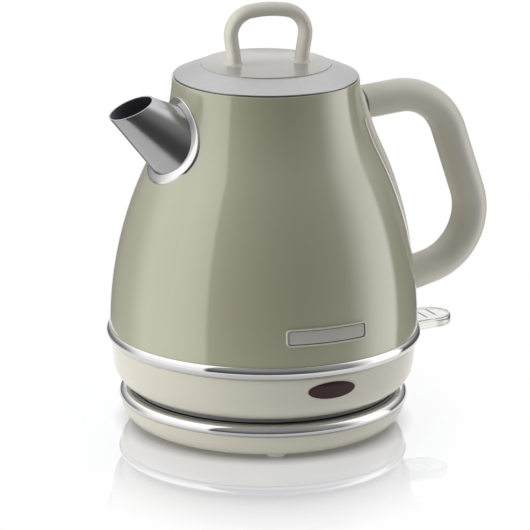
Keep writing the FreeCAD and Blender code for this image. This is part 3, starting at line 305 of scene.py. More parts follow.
def pearl_paint(colours):
    """Sprayed metallic paint under a clear coat: soft flake sheen below, crisp reflections on top."""
    material, tree, place = new_finish("pearl_paint_clear_coated")
    # Real flakes are about 0.05 mm; they are drawn ten times as coarse so that they show
    flakes = add_node(tree, "ShaderNodeTexVoronoi", {"Vector": place, "Scale": per_mm(0.5)})
    tint = add_node(tree, "ShaderNodeMix", {
        "Factor": flakes.outputs["Distance"],
        "A": opaque(colours.paint, 0.985),
        "B": opaque(colours.paint, 1.015),
    }, data_type="RGBA")
    surface(tree, {
        "Base Color": tint.outputs["Result"],
        "Metallic": 0.1,
        "Roughness": varied(tree, place, 30.0, 0.36, 0.4),
        "Specular IOR Level": 0.2,
        "Coat Weight": 1.0,
        "Coat Roughness": 0.06,
        "Coat IOR": 1.85,
    })
    return material


def cream_gloss_plastic(colours):
    """Polished ABS moulding: even colour with faint flow marks and a clean gloss."""
    return even_finish("abs_gloss_cream", colours.cream, tint=(18, 0.02), rough=(9, 0.16, 0.22),
                       grit=(3, 0.006, 0.15), sockets={
                           "IOR": 1.53,
                           "Coat Weight": 0.4,
                           "Coat Roughness": 0.04,
                       })


def satin_cream_plastic(colours):
    """Spark-eroded polypropylene moulding: a fine even grain that softens every highlight."""
    return even_finish("polypropylene_satin_cream", colours.satin, tint=(14, 0.015), rough=(6, 0.36, 0.42),
                       grit=(0.5, 0.01, 0.2), sockets={"IOR": 1.49})


def grey_gloss_plastic(colours):
    """Polished pale grey ABS: clean, with sharper reflections than the cream; on the lid's disc, one moulding with
    the loop, its darker grey is painted shade.
    """
    return even_finish("abs_gloss_pale_grey", colours.grey, tint=(12, 0.02), rough=(7, 0.12, 0.18),
                       sockets={"IOR": 1.49})


def black_plastic(colours):
    """Textured black polyamide: matt, with a visible tool grain."""
    return even_finish("polyamide_matt_black", colours.black, tint=(8, 0.08), rough=(3, 0.45, 0.55),
                       grit=(0.6, 0.03, 0.5))


def heat_plastic(colours):
    """Glass-filled polyamide: dull grey with a dry, slightly streaky skin."""
    return even_finish("polyamide_glass_filled_grey", colours.heatproof, tint=(5, 0.1),
                       rough=(2.5, 0.5, 0.62), grit=(0.5, 0.03, 0.6))


def milky_plastic(colours):
    """Food-safe polypropylene: milky, soft-edged and a little see-through."""
    return even_finish("polypropylene_milky", colours.milky, tint=(10, 0.02), rough=(5, 0.34, 0.42), sockets={
        "IOR": 1.49,
        "Subsurface Weight": 0.2,
        "Subsurface Radius": (mm(2.0), mm(2.0), mm(1.8)),
        "Subsurface Scale": 1.0,
    })


def chrome_trim(colours):
    """Chrome plating on a polished moulding: mirror-bright, with the faintest haze."""
    return even_finish("chrome_plated", colours.chrome, tint=(20, 0.01), rough=(8, 0.03, 0.06),
                       sockets={"Metallic": 1.0})


def polished_steel(colours):
    """Buffed stainless steel: soft mirror, greyer than chrome, with a haze from the polishing."""
    return even_finish("stainless_steel_polished", colours.steel, tint=(12, 0.02), rough=(5, 0.2, 0.26),
                       sockets={"Metallic": 1.0})


def satin_steel(colours):
    """Blasted stainless steel: even pale grey with a soft broad sheen."""
    return even_finish("stainless_steel_satin", colours.steel, tint=(9, 0.015), rough=(4, 0.34, 0.4),
                       grit=(0.6, 0.006, 0.2), sockets={"Metallic": 1.0})


def bore_steel(colours):
    """Drawn steel left unpolished: dull, and dark as painted shade of a deep bore."""
    return even_finish("stainless_steel_dull_painted_bore_shade", colours.bore, tint=(6, 0.06), rough=(3, 0.5, 0.6),
                       sockets={"Metallic": 0.6})


def heater_aluminium(colours):
    """Cast aluminium: dull bright grey with a coarse skin."""
    return even_finish("aluminium_cast", colours.aluminium, tint=(6, 0.06), rough=(3, 0.4, 0.55),
                       grit=(0.8, 0.04, 0.6), sockets={"Metallic": 1.0})


def contact_brass(colours):
    """Bare brass: warm, lightly tarnished in patches."""
    return even_finish("brass_bare", colours.brass, tint=(4, 0.1), rough=(2, 0.2, 0.32),
                       sockets={"Metallic": 1.0})


def zinc_steel(colours):
    """Zinc-plated steel: cool grey with a dull spangle."""
    return even_finish("steel_zinc_plated", colours.zinc, tint=(2, 0.06), rough=(1.5, 0.3, 0.4),
                       sockets={"Metallic": 1.0})


def black_rubber(colours):
    """Moulded rubber: matt charcoal with a powdery grain."""
    return even_finish("rubber_moulded", colours.rubber, tint=(3, 0.12), rough=(2, 0.65, 0.8),
                       grit=(0.4, 0.03, 0.5))


def clear_rubber(colours):
    """Silicone rubber: milky and soft, with a faint sheen."""
    return even_finish("silicone_milky", colours.silicone, tint=(3, 0.03), rough=(2, 0.4, 0.5), sockets={
        "Subsurface Weight": 0.3,
        "Subsurface Radius": (mm(1.5), mm(1.5), mm(1.4)),
        "Subsurface Scale": 1.0,
    })


def clear_plastic(colours):
    """Moulded polycarbonate: clear, with a slight haze from the tool."""
    return even_finish("polycarbonate_clear", colours.clear, tint=(6, 0.01), rough=(3, 0.04, 0.1),
                       sockets={"IOR": 1.58, "Transmission Weight": 0.9})


def dark_red_lens(colours):
    """Tinted acrylic: nearly black red, deep and glossy."""
    return even_finish("acrylic_dark_red", colours.lens, tint=(5, 0.1), rough=(4, 0.16, 0.2),
                       sockets={"Specular IOR Level": 0.25})


def lamp_glass(colours):
    """Small neon lamp: clear glass with a warm tint."""
    return even_finish("glass_neon_lamp", colours.lamp, tint=(2, 0.05), rough=(2, 0.02, 0.06),
                       sockets={"IOR": 1.5, "Transmission Weight": 0.8})


FINISHES = {maker.__name__: maker for maker in (
    pearl_paint, cream_gloss_plastic, satin_cream_plastic, grey_gloss_plastic, black_plastic, heat_plastic,
    milky_plastic, chrome_trim, polished_steel, satin_steel, bore_steel, heater_aluminium, contact_brass,
    zinc_steel, black_rubber, clear_rubber, clear_plastic, dark_red_lens, lamp_glass,
)}
made_finishes = {}


def finish(slot):
    """The material of a slot, made on its first use."""
    if slot not in made_finishes:
        made_finishes[slot] = FINISHES[slot](bpy.context.scene.kettle_colours)
    return made_finishes[slot]


# Outlines and shared shapes


class BodyWall:
    """The body's outside: an ogee of a belly arc and a neck arc."""

    def __init__(self, sizes):
        low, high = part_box("body_shell")
        self.foot, self.top = low.z, high.z
        self.belly = (high.y - low.y) / 2
        self.belly_z = self.foot + sizes.belly_rise
        self.neck_z = self.top + sizes.neck_rise
        inward = self.belly - sizes.neck_radius
        rise = self.neck_z - self.belly_z
        self.bend = sizes.belly_bend
        self.neck_bend = (inward ** 2 + rise ** 2) / (2 * inward) - self.bend
        self.lean = rise / (self.bend + self.neck_bend)
        self.neck_centre = sizes.neck_radius + self.neck_bend

    def radius(self, z, offset=0.0):
        """Radius at a height, on the wall moved out by an offset."""
        if z <= self.belly_z:
            return self.belly + offset
        if z <= self.belly_z + (self.bend + offset) * self.lean:
            return self.belly - self.bend + math.sqrt((self.bend + offset) ** 2 - (z - self.belly_z) ** 2)
        return self.neck_centre - math.sqrt((self.neck_bend - offset) ** 2 - (self.neck_z - z) ** 2)


class SkirtWall:
    """The skirt's outside: an upright arc over a tighter corner arc."""

    def __init__(self, sizes):
        low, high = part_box("lower_skirt")
        self.foot, self.top = low.z, high.z
        self.rim = (high.y - low.y) / 2
        self.bend, self.corner = sizes.skirt_bend, sizes.skirt_corner
        reach = self.bend - self.corner
        self.corner_z = self.foot + self.corner * math.sin(sizes.skirt_sweep)
        self.lean = (self.top - self.corner_z) / reach
        self.corner_x = self.rim - self.bend + reach * math.sqrt(1 - self.lean ** 2)

    def radius(self, z, offset=0.0):
        """Radius at a height, on the wall moved out by an offset."""
        corner = self.corner + offset
        if z >= self.corner_z - corner * self.lean:
            return self.rim - self.bend + math.sqrt((self.bend + offset) ** 2 - (self.top - z) ** 2)
        return self.corner_x + math.sqrt(corner ** 2 - (self.corner_z - z) ** 2)


def wall_points(wall, low, high, count, offset=0.0):
    """Outline of a wall from one height to another."""
    heights = [low + (high - low) * i / count for i in range(count + 1)]
    return [(wall.radius(z, offset), z) for z in heights]


def arc_points(start, middle, end, count):
    """Outline of the arc through three points, from the first to the last."""
    a, b, c = (complex(*p) for p in (start, middle, end))
    near, far = b - a, c - a
    twist = 2j * (near.conjugate() * far).imag
    if abs(twist) < FIT ** 2:
        raise ValueError("the three points of an arc lie on one line")
    centre = a + (abs(near) ** 2 * far - abs(far) ** 2 * near) / twist
    first, half, last = (math.atan2((p - centre).imag, (p - centre).real) for p in (a, b, c))
    sweep = (last - first) % math.tau
    if (half - first) % math.tau > sweep:
        sweep -= math.tau
    angles = [first + sweep * i / count for i in range(count + 1)]
    radius = abs(a - centre)
    return [(centre.real + radius * math.cos(t), centre.imag + radius * math.sin(t)) for t in angles]


def spun(outline, closed, steps=ROUND_STEPS):
    """Mesh of an outline of (radius, height) points turned about Z."""
    bm = bmesh.new()
    verts = [bm.verts.new((r, 0, z)) for r, z in outline]
    pairs = zip(verts, verts[1:] + verts[:1] if closed else verts[1:])
    edges = [bm.edges.new(pair) for pair in pairs]
    bmesh.ops.spin(bm, geom=verts + edges, cent=(0, 0, 0), axis=UP, dvec=(0, 0, 0), angle=math.tau,
                   steps=steps, use_merge=True)
    bmesh.ops.remove_doubles(bm, verts=bm.verts, dist=SAME)
    bmesh.ops.recalc_face_normals(bm, faces=bm.faces)
    return bm


def shift(bm, vec):
    """Move a whole mesh."""
    bmesh.ops.translate(bm, verts=bm.verts, vec=vec)


def cut_flat(bm, spot, normal, clear=False):
    """Cut a mesh along a plane, and clear the side that the normal points to if asked."""
    bmesh.ops.bisect_plane(bm, geom=bm.verts[:] + bm.edges[:] + bm.faces[:], dist=SAME,
                           plane_co=spot, plane_no=normal, clear_outer=clear)


def open_rims(bm):
    """Edges with a face on one side only."""
    return [e for e in bm.edges if e.is_boundary]


def grow_ring(bm, ring):
    """Extrude a ring of edges; gives its new vertices and the new ring, still in place."""
    grown = bmesh.ops.extrude_edge_only(bm, edges=ring)["geom"]
    moved = [v for v in grown if isinstance(v, bmesh.types.BMVert)]
    edges = [e for e in grown if isinstance(e, bmesh.types.BMEdge)]
    return moved, [e for e in edges if all(v in moved for v in e.verts)]


def soften(bm, width, segments=3, only=None):
    """Round the sharp edges, or those of them that a test lets through."""
    edges = [e for e in bm.edges if len(e.link_faces) == 2 and e.calc_face_angle() > SHARP]
    if only:
        edges = [e for e in edges if only(e)]
    bmesh.ops.bevel(bm, geom=edges, offset=width, offset_type="OFFSET", segments=segments, profile=0.5,
                    affect="EDGES", clamp_overlap=True, material=-1)


def as_object(bm, name):
    """Make a mesh an object of the scene."""
    mesh = bpy.data.meshes.new(name)
    bm.to_mesh(mesh)
    bm.free()
    thing = bpy.data.objects.new(name, mesh)
    bpy.context.scene.collection.objects.link(thing)
    return thing


def shade(piece):
    """Shade a piece smooth up to its sharp edges."""
    piece.data.shade_smooth()
    piece.data.set_sharp_from_angle(angle=SHARP)


def settle(bm, name, slot, body, *nodes):
    """Make a mesh a finished piece that rides on a body and stands for solids."""
    piece = as_object(bm, name)
    piece.data.materials.append(finish(slot))
    shade(piece)
    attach(piece, body)
    if nodes:
        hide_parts(*nodes)
    return piece


def cut_away(piece, *cutters):
    """Cut shapes out of a piece."""
    tools = []
    for i, bm in enumerate(cutters):
        bmesh.ops.recalc_face_normals(bm, faces=bm.faces)
        tool = as_object(bm, piece.name + "_cutter")
        cut = piece.modifiers.new("cut_%d" % i, "BOOLEAN")
        cut.operation = "DIFFERENCE"
        cut.solver = "EXACT"
        cut.object = tool
        tools.append(tool)
    view = bpy.context.evaluated_depsgraph_get()
    mesh = bpy.data.meshes.new_from_object(piece.evaluated_get(view))
    mesh.name = piece.name
    piece.modifiers.clear()
    piece.data = mesh
    for tool in tools:
        bpy.data.objects.remove(tool)
    shade(piece)


def frame_matrix(across, side, ahead, origin):
    """Matrix that turns local X, Y and Z to three directions and puts them at a point."""
    turn = Matrix((across, side, ahead)).transposed().to_4x4()
    return Matrix.Translation(origin) @ turn


def swept_bar(corners, bends, thick, width, section_steps, bend_steps):
    """Bar of oval section along runs and bends in the XZ plane."""
    points = [Vector((x, 0, z)) for x, z in corners]
    ahead = (points[1] - points[0]).normalized()
    bm = bmesh.new()
    place = frame_matrix(ALONG_Y.cross(ahead), ALONG_Y, ahead, points[0])
    place = place @ Matrix.Diagonal((thick / 2, width / 2, 1, 1))
    bmesh.ops.create_circle(bm, segments=section_steps, radius=1, matrix=place)
    ring = bm.edges[:]
    here = points[0]

    def run_to(target, edges):
        moved, end = grow_ring(bm, edges)
        bmesh.ops.translate(bm, verts=moved, vec=target - here)
        return end

    for before, corner, after, bend in zip(points, points[1:], points[2:], bends):
        incoming = (corner - before).normalized()
        outgoing = (after - corner).normalized()
        turn = incoming.angle(outgoing)
        enter = corner - incoming * (bend * math.tan(turn / 2))
        axis = incoming.cross(outgoing).normalized()
        ring = run_to(enter, ring)
        centre = enter + axis.cross(incoming) * bend
        geom = list({v for e in ring for v in e.verts}) + ring
        last = bmesh.ops.spin(bm, geom=geom, cent=centre, axis=axis, dvec=(0, 0, 0), angle=turn,
                              steps=max(2, round(bend_steps * turn)))["geom_last"]
        ring = [e for e in last if isinstance(e, bmesh.types.BMEdge)]
        here = corner + outgoing * (bend * math.tan(turn / 2))
    run_to(points[-1], ring)
    bmesh.ops.holes_fill(bm, edges=bm.edges, sides=section_steps)
    bmesh.ops.recalc_face_normals(bm, faces=bm.faces)
    return bm


def stadium(bm, half, low, high, fill):
    """Flat bar with round ends in the XY plane, as a face or a loop, with its length along Y."""
    # Even, but no multiple of four, so that no vertex lies on the line where the ends part
    segments = 38
    centre = Matrix.Translation((0, low + half, 0))
    made = bmesh.ops.create_circle(bm, cap_ends=fill, segments=segments, radius=half, matrix=centre)["verts"]
    upper = [v for v in made if v.co.y > low + half]
    bmesh.ops.translate(bm, verts=upper, vec=(0, high - low - 2 * half, 0))


def rounded_rectangle(bm, half_width, half_height, corner, fill):
    """Flat rectangle with round corners in the XY plane, as a face or a loop."""
    made = bmesh.ops.create_grid(bm, x_segments=1, y_segments=1, size=1)["verts"]
    bmesh.ops.scale(bm, vec=(half_width, half_height, 1), verts=made)
    before = set(bm.verts) - set(made)
    bmesh.ops.bevel(bm, geom=made, offset=corner, offset_type="OFFSET", segments=6, profile=0.5,
                    affect="VERTICES", clamp_overlap=True, material=-1)
    if not fill:
        faces = [f for f in bm.faces if not before.intersection(f.verts)]
        bmesh.ops.delete(bm, geom=faces, context="FACES_ONLY")


def slice_up(bm, pitch, direction):
    """Cut flat faces into strips across a direction, so that they can bend."""
    spots = [v.co.dot(direction) for v in bm.verts]
    low, high = min(spots), max(spots)
    count = max(1, round((high - low) / pitch))
    for i in range(1, count):
        spot = direction * (low + (high - low) * i / count)
        cut_flat(bm, spot, direction)


def thicken(bm, base, top):
    """Give flat faces a thickness along Z, from one offset to another."""
    bmesh.ops.recalc_face_normals(bm, faces=bm.faces)
    bmesh.ops.solidify(bm, geom=bm.faces[:], thickness=top - base)
    shift(bm, (0, 0, base - min(v.co.z for v in bm.verts)))
    bmesh.ops.recalc_face_normals(bm, faces=bm.faces)


def press_on(bm, wall, facing):
    """Bend a flat piece of (side, height, offset) onto a round wall."""
    for vert in bm.verts:
        side, height, offset = vert.co
        depth = math.sqrt(wall.radius(height, offset) ** 2 - side ** 2)
        vert.co = facing(side, depth, height)
    bmesh.ops.recalc_face_normals(bm, faces=bm.faces)


def on_handle_side(side, depth, height):
    """Point at a depth from the axis on the handle's side."""
    return Vector((AXIS_X + depth, side, height))


def on_lens_side(side, depth, height):
    """Point at a depth from the axis on the lens's side."""
    return Vector((AXIS_X + side, -depth, height))


def near_top(offset):
    """Test for edges that lie at an offset of a flat piece."""
    return lambda edge: all(v.co.z > offset - FIT for v in edge.verts)


def islands(bm):
    """Groups of joined vertices of a mesh."""
    left = set(bm.verts)
    groups = []
    while left:
        front = [left.pop()]
        group = list(front)
        while front:
            vert = front.pop()
            for edge in vert.link_edges:
                other = edge.other_vert(vert)
                if other in left:
                    left.discard(other)
                    front.append(other)
                    group.append(other)
        groups.append(group)
    return groups


# Pieces


class KETTLE_OT_base(bpy.types.Operator):
    """Make the base's bowl, bright ring and feet"""

    bl_idname = "kettle.make_base"
    bl_label = "Power base"

    def execute(self, context):
        sizes = context.scene.kettle_sizes
        self.bowl(sizes)
        self.ring(sizes)
        self.feet()
        return {"FINISHED"}

    def bowl(self, sizes):
        low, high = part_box("base_bowl")
        floor, rim_z = low.z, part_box("base_trim_ring")[0].z
        rim = (high.y - low.y) / 2
        inward, rise = rim - sizes.bowl_floor, rim_z - floor
        bend = (inward ** 2 + rise ** 2) / (2 * inward)

        def side(z, offset):
            return rim - bend + math.sqrt((bend + offset) ** 2 - (rim_z - z) ** 2)

        inside = floor + sizes.bowl_wall
        steps = 14
        outer = [floor + rise * i / steps for i in range(steps + 1)]
        inner = [rim_z - (rim_z - inside) * i / steps for i in range(steps + 1)]
        outline = [(0, floor)] + [(side(z, 0), z) for z in outer]
        outline += [(side(z, -sizes.bowl_wall), z) for z in inner] + [(0, inside)]
        bm = spun(outline, closed=False)
        soften(bm, mm(0.6))
        shift(bm, AXIS)
        piece = settle(bm, "base_bowl_moulding", "cream_gloss_plastic", "base", "base_bowl")
        cut_away(piece, self.cord_hole())

    def cord_hole(self):
        """Round bar through the cord outlet, read from its bush."""
        low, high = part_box("cord_gland")
        middle = (low + high) / 2
        outward = (middle - AXIS).xy.normalized().to_3d()
        bar = bmesh.new()
        reach, length = mm(70), mm(26)
        centre = Vector((AXIS_X, 0, middle.z)) + outward * reach
        radius = (high.z - low.z) / 2 + FIT
        bmesh.ops.create_cone(bar, cap_ends=True, segments=32, radius1=radius, radius2=radius, depth=length,
                              matrix=frame_matrix(UP, outward.cross(UP), -outward, centre))
        return bar

    def ring(self, sizes):
        low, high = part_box("base_trim_ring")
        rim = (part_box("base_bowl")[1].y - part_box("base_bowl")[0].y) / 2
        bulge = (high.y - low.y) / 2
        # Heights of the lower round's middle, of the widest place and of the land that rests on the bowl
        foot, top = low.z, high.z
        under, waist, land = foot + mm(0.6), foot + mm(1.5), foot + mm(1.6)
        bend = top - waist
        crest = bulge - bend
        diagonal = bend * math.sqrt(0.5)
        inner = rim - sizes.ring_width
        step = rim - mm(2.4)
        outline = arc_points((rim, foot), ((rim + 2 * bulge) / 3, under), (bulge, waist), 6)
        outline += arc_points((bulge, waist), (crest + diagonal, waist + diagonal), (crest, top), 16)[1:]
        outline += [(inner, top - FIT), (inner, land), (step, land), (step, foot)]
        bm = spun(outline, closed=True)
        soften(bm, mm(0.25))
        shift(bm, AXIS)
        settle(bm, "base_ring_chromed", "chrome_trim", "base", "base_trim_ring")

    def feet(self):
        """Rubber pads with a rounded tread, where the solids stand."""
        node = frame["nodes"]["base_feet"]
        spots = bmesh.new()
        spots.from_mesh(node.data)
        bmesh.ops.remove_doubles(spots, verts=spots.verts, dist=FIT)
        pads = bmesh.new()
        for island in islands(spots):
            low = Vector(min(v.co[i] for v in island) for i in range(3))
            high = Vector(max(v.co[i] for v in island) for i in range(3))
            middle = (low + high) / 2
            radius = (high.x - low.x) / 2
            known = set(pads.verts)
            bmesh.ops.create_cone(pads, cap_ends=True, segments=48, radius1=radius, radius2=radius,
                                  depth=high.z - low.z, matrix=Matrix.Translation(middle))
            new = [v for v in pads.verts if v not in known]
            tread = [f for f in pads.faces if len(f.verts) > 4 and f.verts[0] in new and f.normal.z < 0]
            bmesh.ops.inset_region(pads, faces=tread, thickness=mm(1.4), depth=mm(-0.25))
        spots.free()
        soften(pads, mm(0.4))
        settle(pads, "base_feet_pads", "clear_rubber", "base", "base_feet")


class KETTLE_OT_skirt(bpy.types.Operator):
    """Make the skirt under the body and the bright waist ring"""

    bl_idname = "kettle.make_skirt"
    bl_label = "Skirt and waist ring"

    def execute(self, context):
        sizes = context.scene.kettle_sizes
        self.skirt(sizes)
        self.ring(sizes)
        return {"FINISHED"}

    def skirt(self, sizes):
        wall = SkirtWall(sizes)
        floor = wall.foot + sizes.skirt_wall
        inner = wall.radius(wall.foot) - sizes.skirt_foot
        outline = wall_points(wall, wall.foot, wall.top, 26)
        outline += wall_points(wall, floor, wall.top, 18, -sizes.skirt_wall)[::-1]
        outline += [(inner, floor), (inner, wall.foot)]
        bm = spun(outline, closed=True)
        soften(bm, mm(0.4))
        shift(bm, AXIS)
        piece = settle(bm, "skirt_moulding", "cream_gloss_plastic", "kettle", "lower_skirt")
        cut_away(piece, self.notch(wall))

    def notch(self, wall):
        """Block that clears the lever's travel."""
        low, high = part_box("switch_lever")
        pivot = JOINTS["switch_lever"]["pos_m"]
        travel = math.radians(JOINTS["switch_lever"]["range_deg"][1])
        start = pivot[0]
        drop = (AXIS_X + wall.rim - start) * math.sin(travel)
        # Gap round the lever, depth of its tongue under the skirt's top, and the block's length and overshoot
        gap, tongue, length, over = mm(0.6), mm(5.9), mm(40), mm(1)
        half = (high.y - low.y) / 2 + gap
        bottom, top = wall.top - tongue - drop - gap, wall.top + over
        block = bmesh.new()
        size = Matrix.Diagonal((length, 2 * half, top - bottom, 1))
        middle = Vector((start + length / 2, 0, (top + bottom) / 2))
        bmesh.ops.create_cube(block, size=1, matrix=Matrix.Translation(middle) @ size)
        return block

    def ring(self, sizes):
        low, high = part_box("skirt_trim_ring")
        bulge = (high.y - low.y) / 2
        rim = SkirtWall(sizes).rim
        bore = BodyWall(sizes).belly + FIT
        lip = bore + mm(0.4)
        flange, ledge = bore - mm(4.9), low.z + mm(1)
        outline = arc_points((rim, low.z), (bulge, (low.z + high.z) / 2), (lip, high.z), 18)
        outline += [(bore, high.z), (bore, ledge), (flange, ledge), (flange, low.z)]
        bm = spun(outline, closed=True)
        soften(bm, mm(0.12))
        shift(bm, AXIS)
        settle(bm, "waist_ring_chromed", "chrome_trim", "kettle", "skirt_trim_ring")


class KETTLE_OT_body(bpy.types.Operator):
    """Make the body, painted outside and bare steel inside, with its spout opening and window slot"""

    bl_idname = "kettle.make_body"
    bl_label = "Body"

    def execute(self, context):
        sizes = context.scene.kettle_sizes
        wall = BodyWall(sizes)
        lip_low = wall.top - sizes.body_wall
        outline = wall_points(wall, wall.foot, wall.top, 64)
        outline += [(sizes.mouth_radius, wall.top), (sizes.mouth_radius, lip_low)]
        outline += wall_points(wall, wall.foot, lip_low, 48, -sizes.body_wall)[::-1]
        bm = spun(outline, closed=True)
        soften(bm, mm(0.3))
        shift(bm, AXIS)
        piece = settle(bm, "body_painted", "pearl_paint", "kettle", "body_shell")
        cut_away(piece, Spout(sizes).cutter(), self.slot())
        piece.data.materials.append(finish("satin_steel"))
        for face in piece.data.polygons:
            spot = face.center - AXIS
            inside = wall.radius(spot.z) - spot.xy.length > sizes.body_wall * INSIDE
            face.material_index = int(inside and spot.z < lip_low + FIT)
        return {"FINISHED"}

    def slot(self):
        """Upright bar through the wall where the window's tongue passes."""
        low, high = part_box("window_gasket")
        ledge, start, length = mm(1.6), mm(40), mm(60)
        bar = bmesh.new()
        stadium(bar, high.y - ledge, low.z + ledge, high.z - ledge, fill=True)
        bmesh.ops.solidify(bar, geom=bar.faces[:], thickness=length)
        shift(bar, (0, 0, -min(v.co.z for v in bar.verts)))
        place = frame_matrix(ALONG_Y, UP, ALONG_X, AXIS + ALONG_X * start)
        bmesh.ops.transform(bar, matrix=place, verts=bar.verts)
        return bar


class Spout:
    """The spout's cone: its axis rises outwards from inside the body."""

    def __init__(self, sizes):
        self.wall = BodyWall(sizes)
        self.sizes = sizes
        rise = sizes.spout_rise
        self.axis = Vector((-math.cos(rise), 0, math.sin(rise)))
        self.across = ALONG_Y.cross(self.axis)
        self.tip = Vector((AXIS_X - sizes.spout_reach, 0, self.wall.top - sizes.spout_drop))
        self.slope = math.tan(sizes.spout_taper)

    def radius(self, depth):
        return self.sizes.spout_radius + depth * self.slope

    def place(self):
        return frame_matrix(self.across, ALONG_Y, self.axis, self.tip)

    def cutter(self):
        """Cone that opens the body for the spout."""
        depth, front = mm(60), mm(15)
        bar = bmesh.new()
        middle = Matrix.Translation((0, 0, -(depth + front) / 2))
        bmesh.ops.create_cone(bar, cap_ends=True, segments=96, radius1=self.radius(depth) + FIT,
                              radius2=self.radius(front) + FIT, depth=depth - front,
                              matrix=self.place() @ middle)
        return bar

    def on_wall(self, angle, grow, offset):
        """Point where a line of the grown cone meets the wall moved out by an offset."""
        outward = self.across * math.cos(angle) + ALONG_Y * math.sin(angle)
        start = self.tip + outward * (self.sizes.spout_radius + grow)
        step = outward * self.slope - self.axis

        def outside(depth):
            spot = start + step * depth
            return math.hypot(spot.x - AXIS_X, spot.y) > self.wall.radius(spot.z, offset)

        near, far = 0.0, mm(60)
        if not outside(near) or outside(far):
            raise ValueError("the spout's cone misses the body")
        for _ in range(40):
            middle = (near + far) / 2
            near, far = (middle, far) if outside(middle) else (near, middle)
        return start + step * near


class KETTLE_OT_spout(bpy.types.Operator):
    """Make the steel spout and the collar round its root"""

    bl_idname = "kettle.make_spout"
    bl_label = "Spout"

    def execute(self, context):
        sizes = context.scene.kettle_sizes
        spout = Spout(sizes)
        self.tube(sizes, spout)
        self.collar(sizes, spout)
        return {"FINISHED"}

    def tube(self, sizes, spout):
        front, back, steps = -sizes.spout_radius, mm(50), 24
        sink = mm(3.4)
        depths = [front + (back - front) * i / steps for i in range(steps + 1)]
        outline = [(spout.radius(d), -d) for d in depths]
        outline += [(spout.radius(d) - sizes.spout_wall, -d) for d in reversed(depths)]
        bm = spun(outline, closed=True)
        bmesh.ops.transform(bm, matrix=spout.place(), verts=bm.verts)
        tilt = sizes.spout_lip_tilt
        lip = Vector((-math.sin(tilt), 0, math.cos(tilt)))
        root = spout.on_wall(0, -sizes.spout_radius, 0)
        inward = Vector((AXIS_X - root.x, 0, 0)).normalized()
        for spot, normal in ((spout.tip, lip), (root + inward * sink, inward)):
            cut_flat(bm, spot, normal, clear=True)
            bmesh.ops.bridge_loops(bm, edges=open_rims(bm))
        bmesh.ops.recalc_face_normals(bm, faces=bm.faces)
        soften(bm, mm(0.2))
        # The bore's faces take the darker steel: painted shade inside the spout
        for face in bm.faces:
            inside = spout.place().inverted() @ face.calc_center_median()
            face.material_index = int(inside.xy.length < spout.radius(-inside.z) - sizes.spout_wall * INSIDE)
        piece = settle(bm, "spout_polished", "polished_steel", "kettle", "spout_tube")
        piece.data.materials.append(finish("bore_steel"))

    def collar(self, sizes, spout):
        thick, width = sizes.collar_thick, sizes.collar_width
        edge = mm(0.4)
        shy = edge * 0.3
        profile = [(FIT, FIT), (FIT, thick - edge / 2), (edge / 2, thick)]
        profile += [(edge / 2 + (width - 1.5 * edge) * i / 3, thick) for i in (1, 2)]
        profile += arc_points((width - edge, thick), (width - shy, thick - shy), (width, thick - edge), 5)
        profile += [(width, FIT)]
        steps = 96
        bm = bmesh.new()
        loops = []
        for grow, offset in profile:
            made = bmesh.ops.create_circle(bm, segments=steps, radius=1)["verts"]
            for i, vert in enumerate(made):
                vert.co = spout.on_wall(math.tau * i / steps, grow, offset)
            loops.append([e for e in bm.edges if e.verts[0] in made])
        for near, far in zip(loops, loops[1:] + loops[:1]):
            bmesh.ops.bridge_loops(bm, edges=near + far)
        bmesh.ops.recalc_face_normals(bm, faces=bm.faces)
        settle(bm, "spout_collar_polished", "chrome_trim", "kettle", "spout_flange")


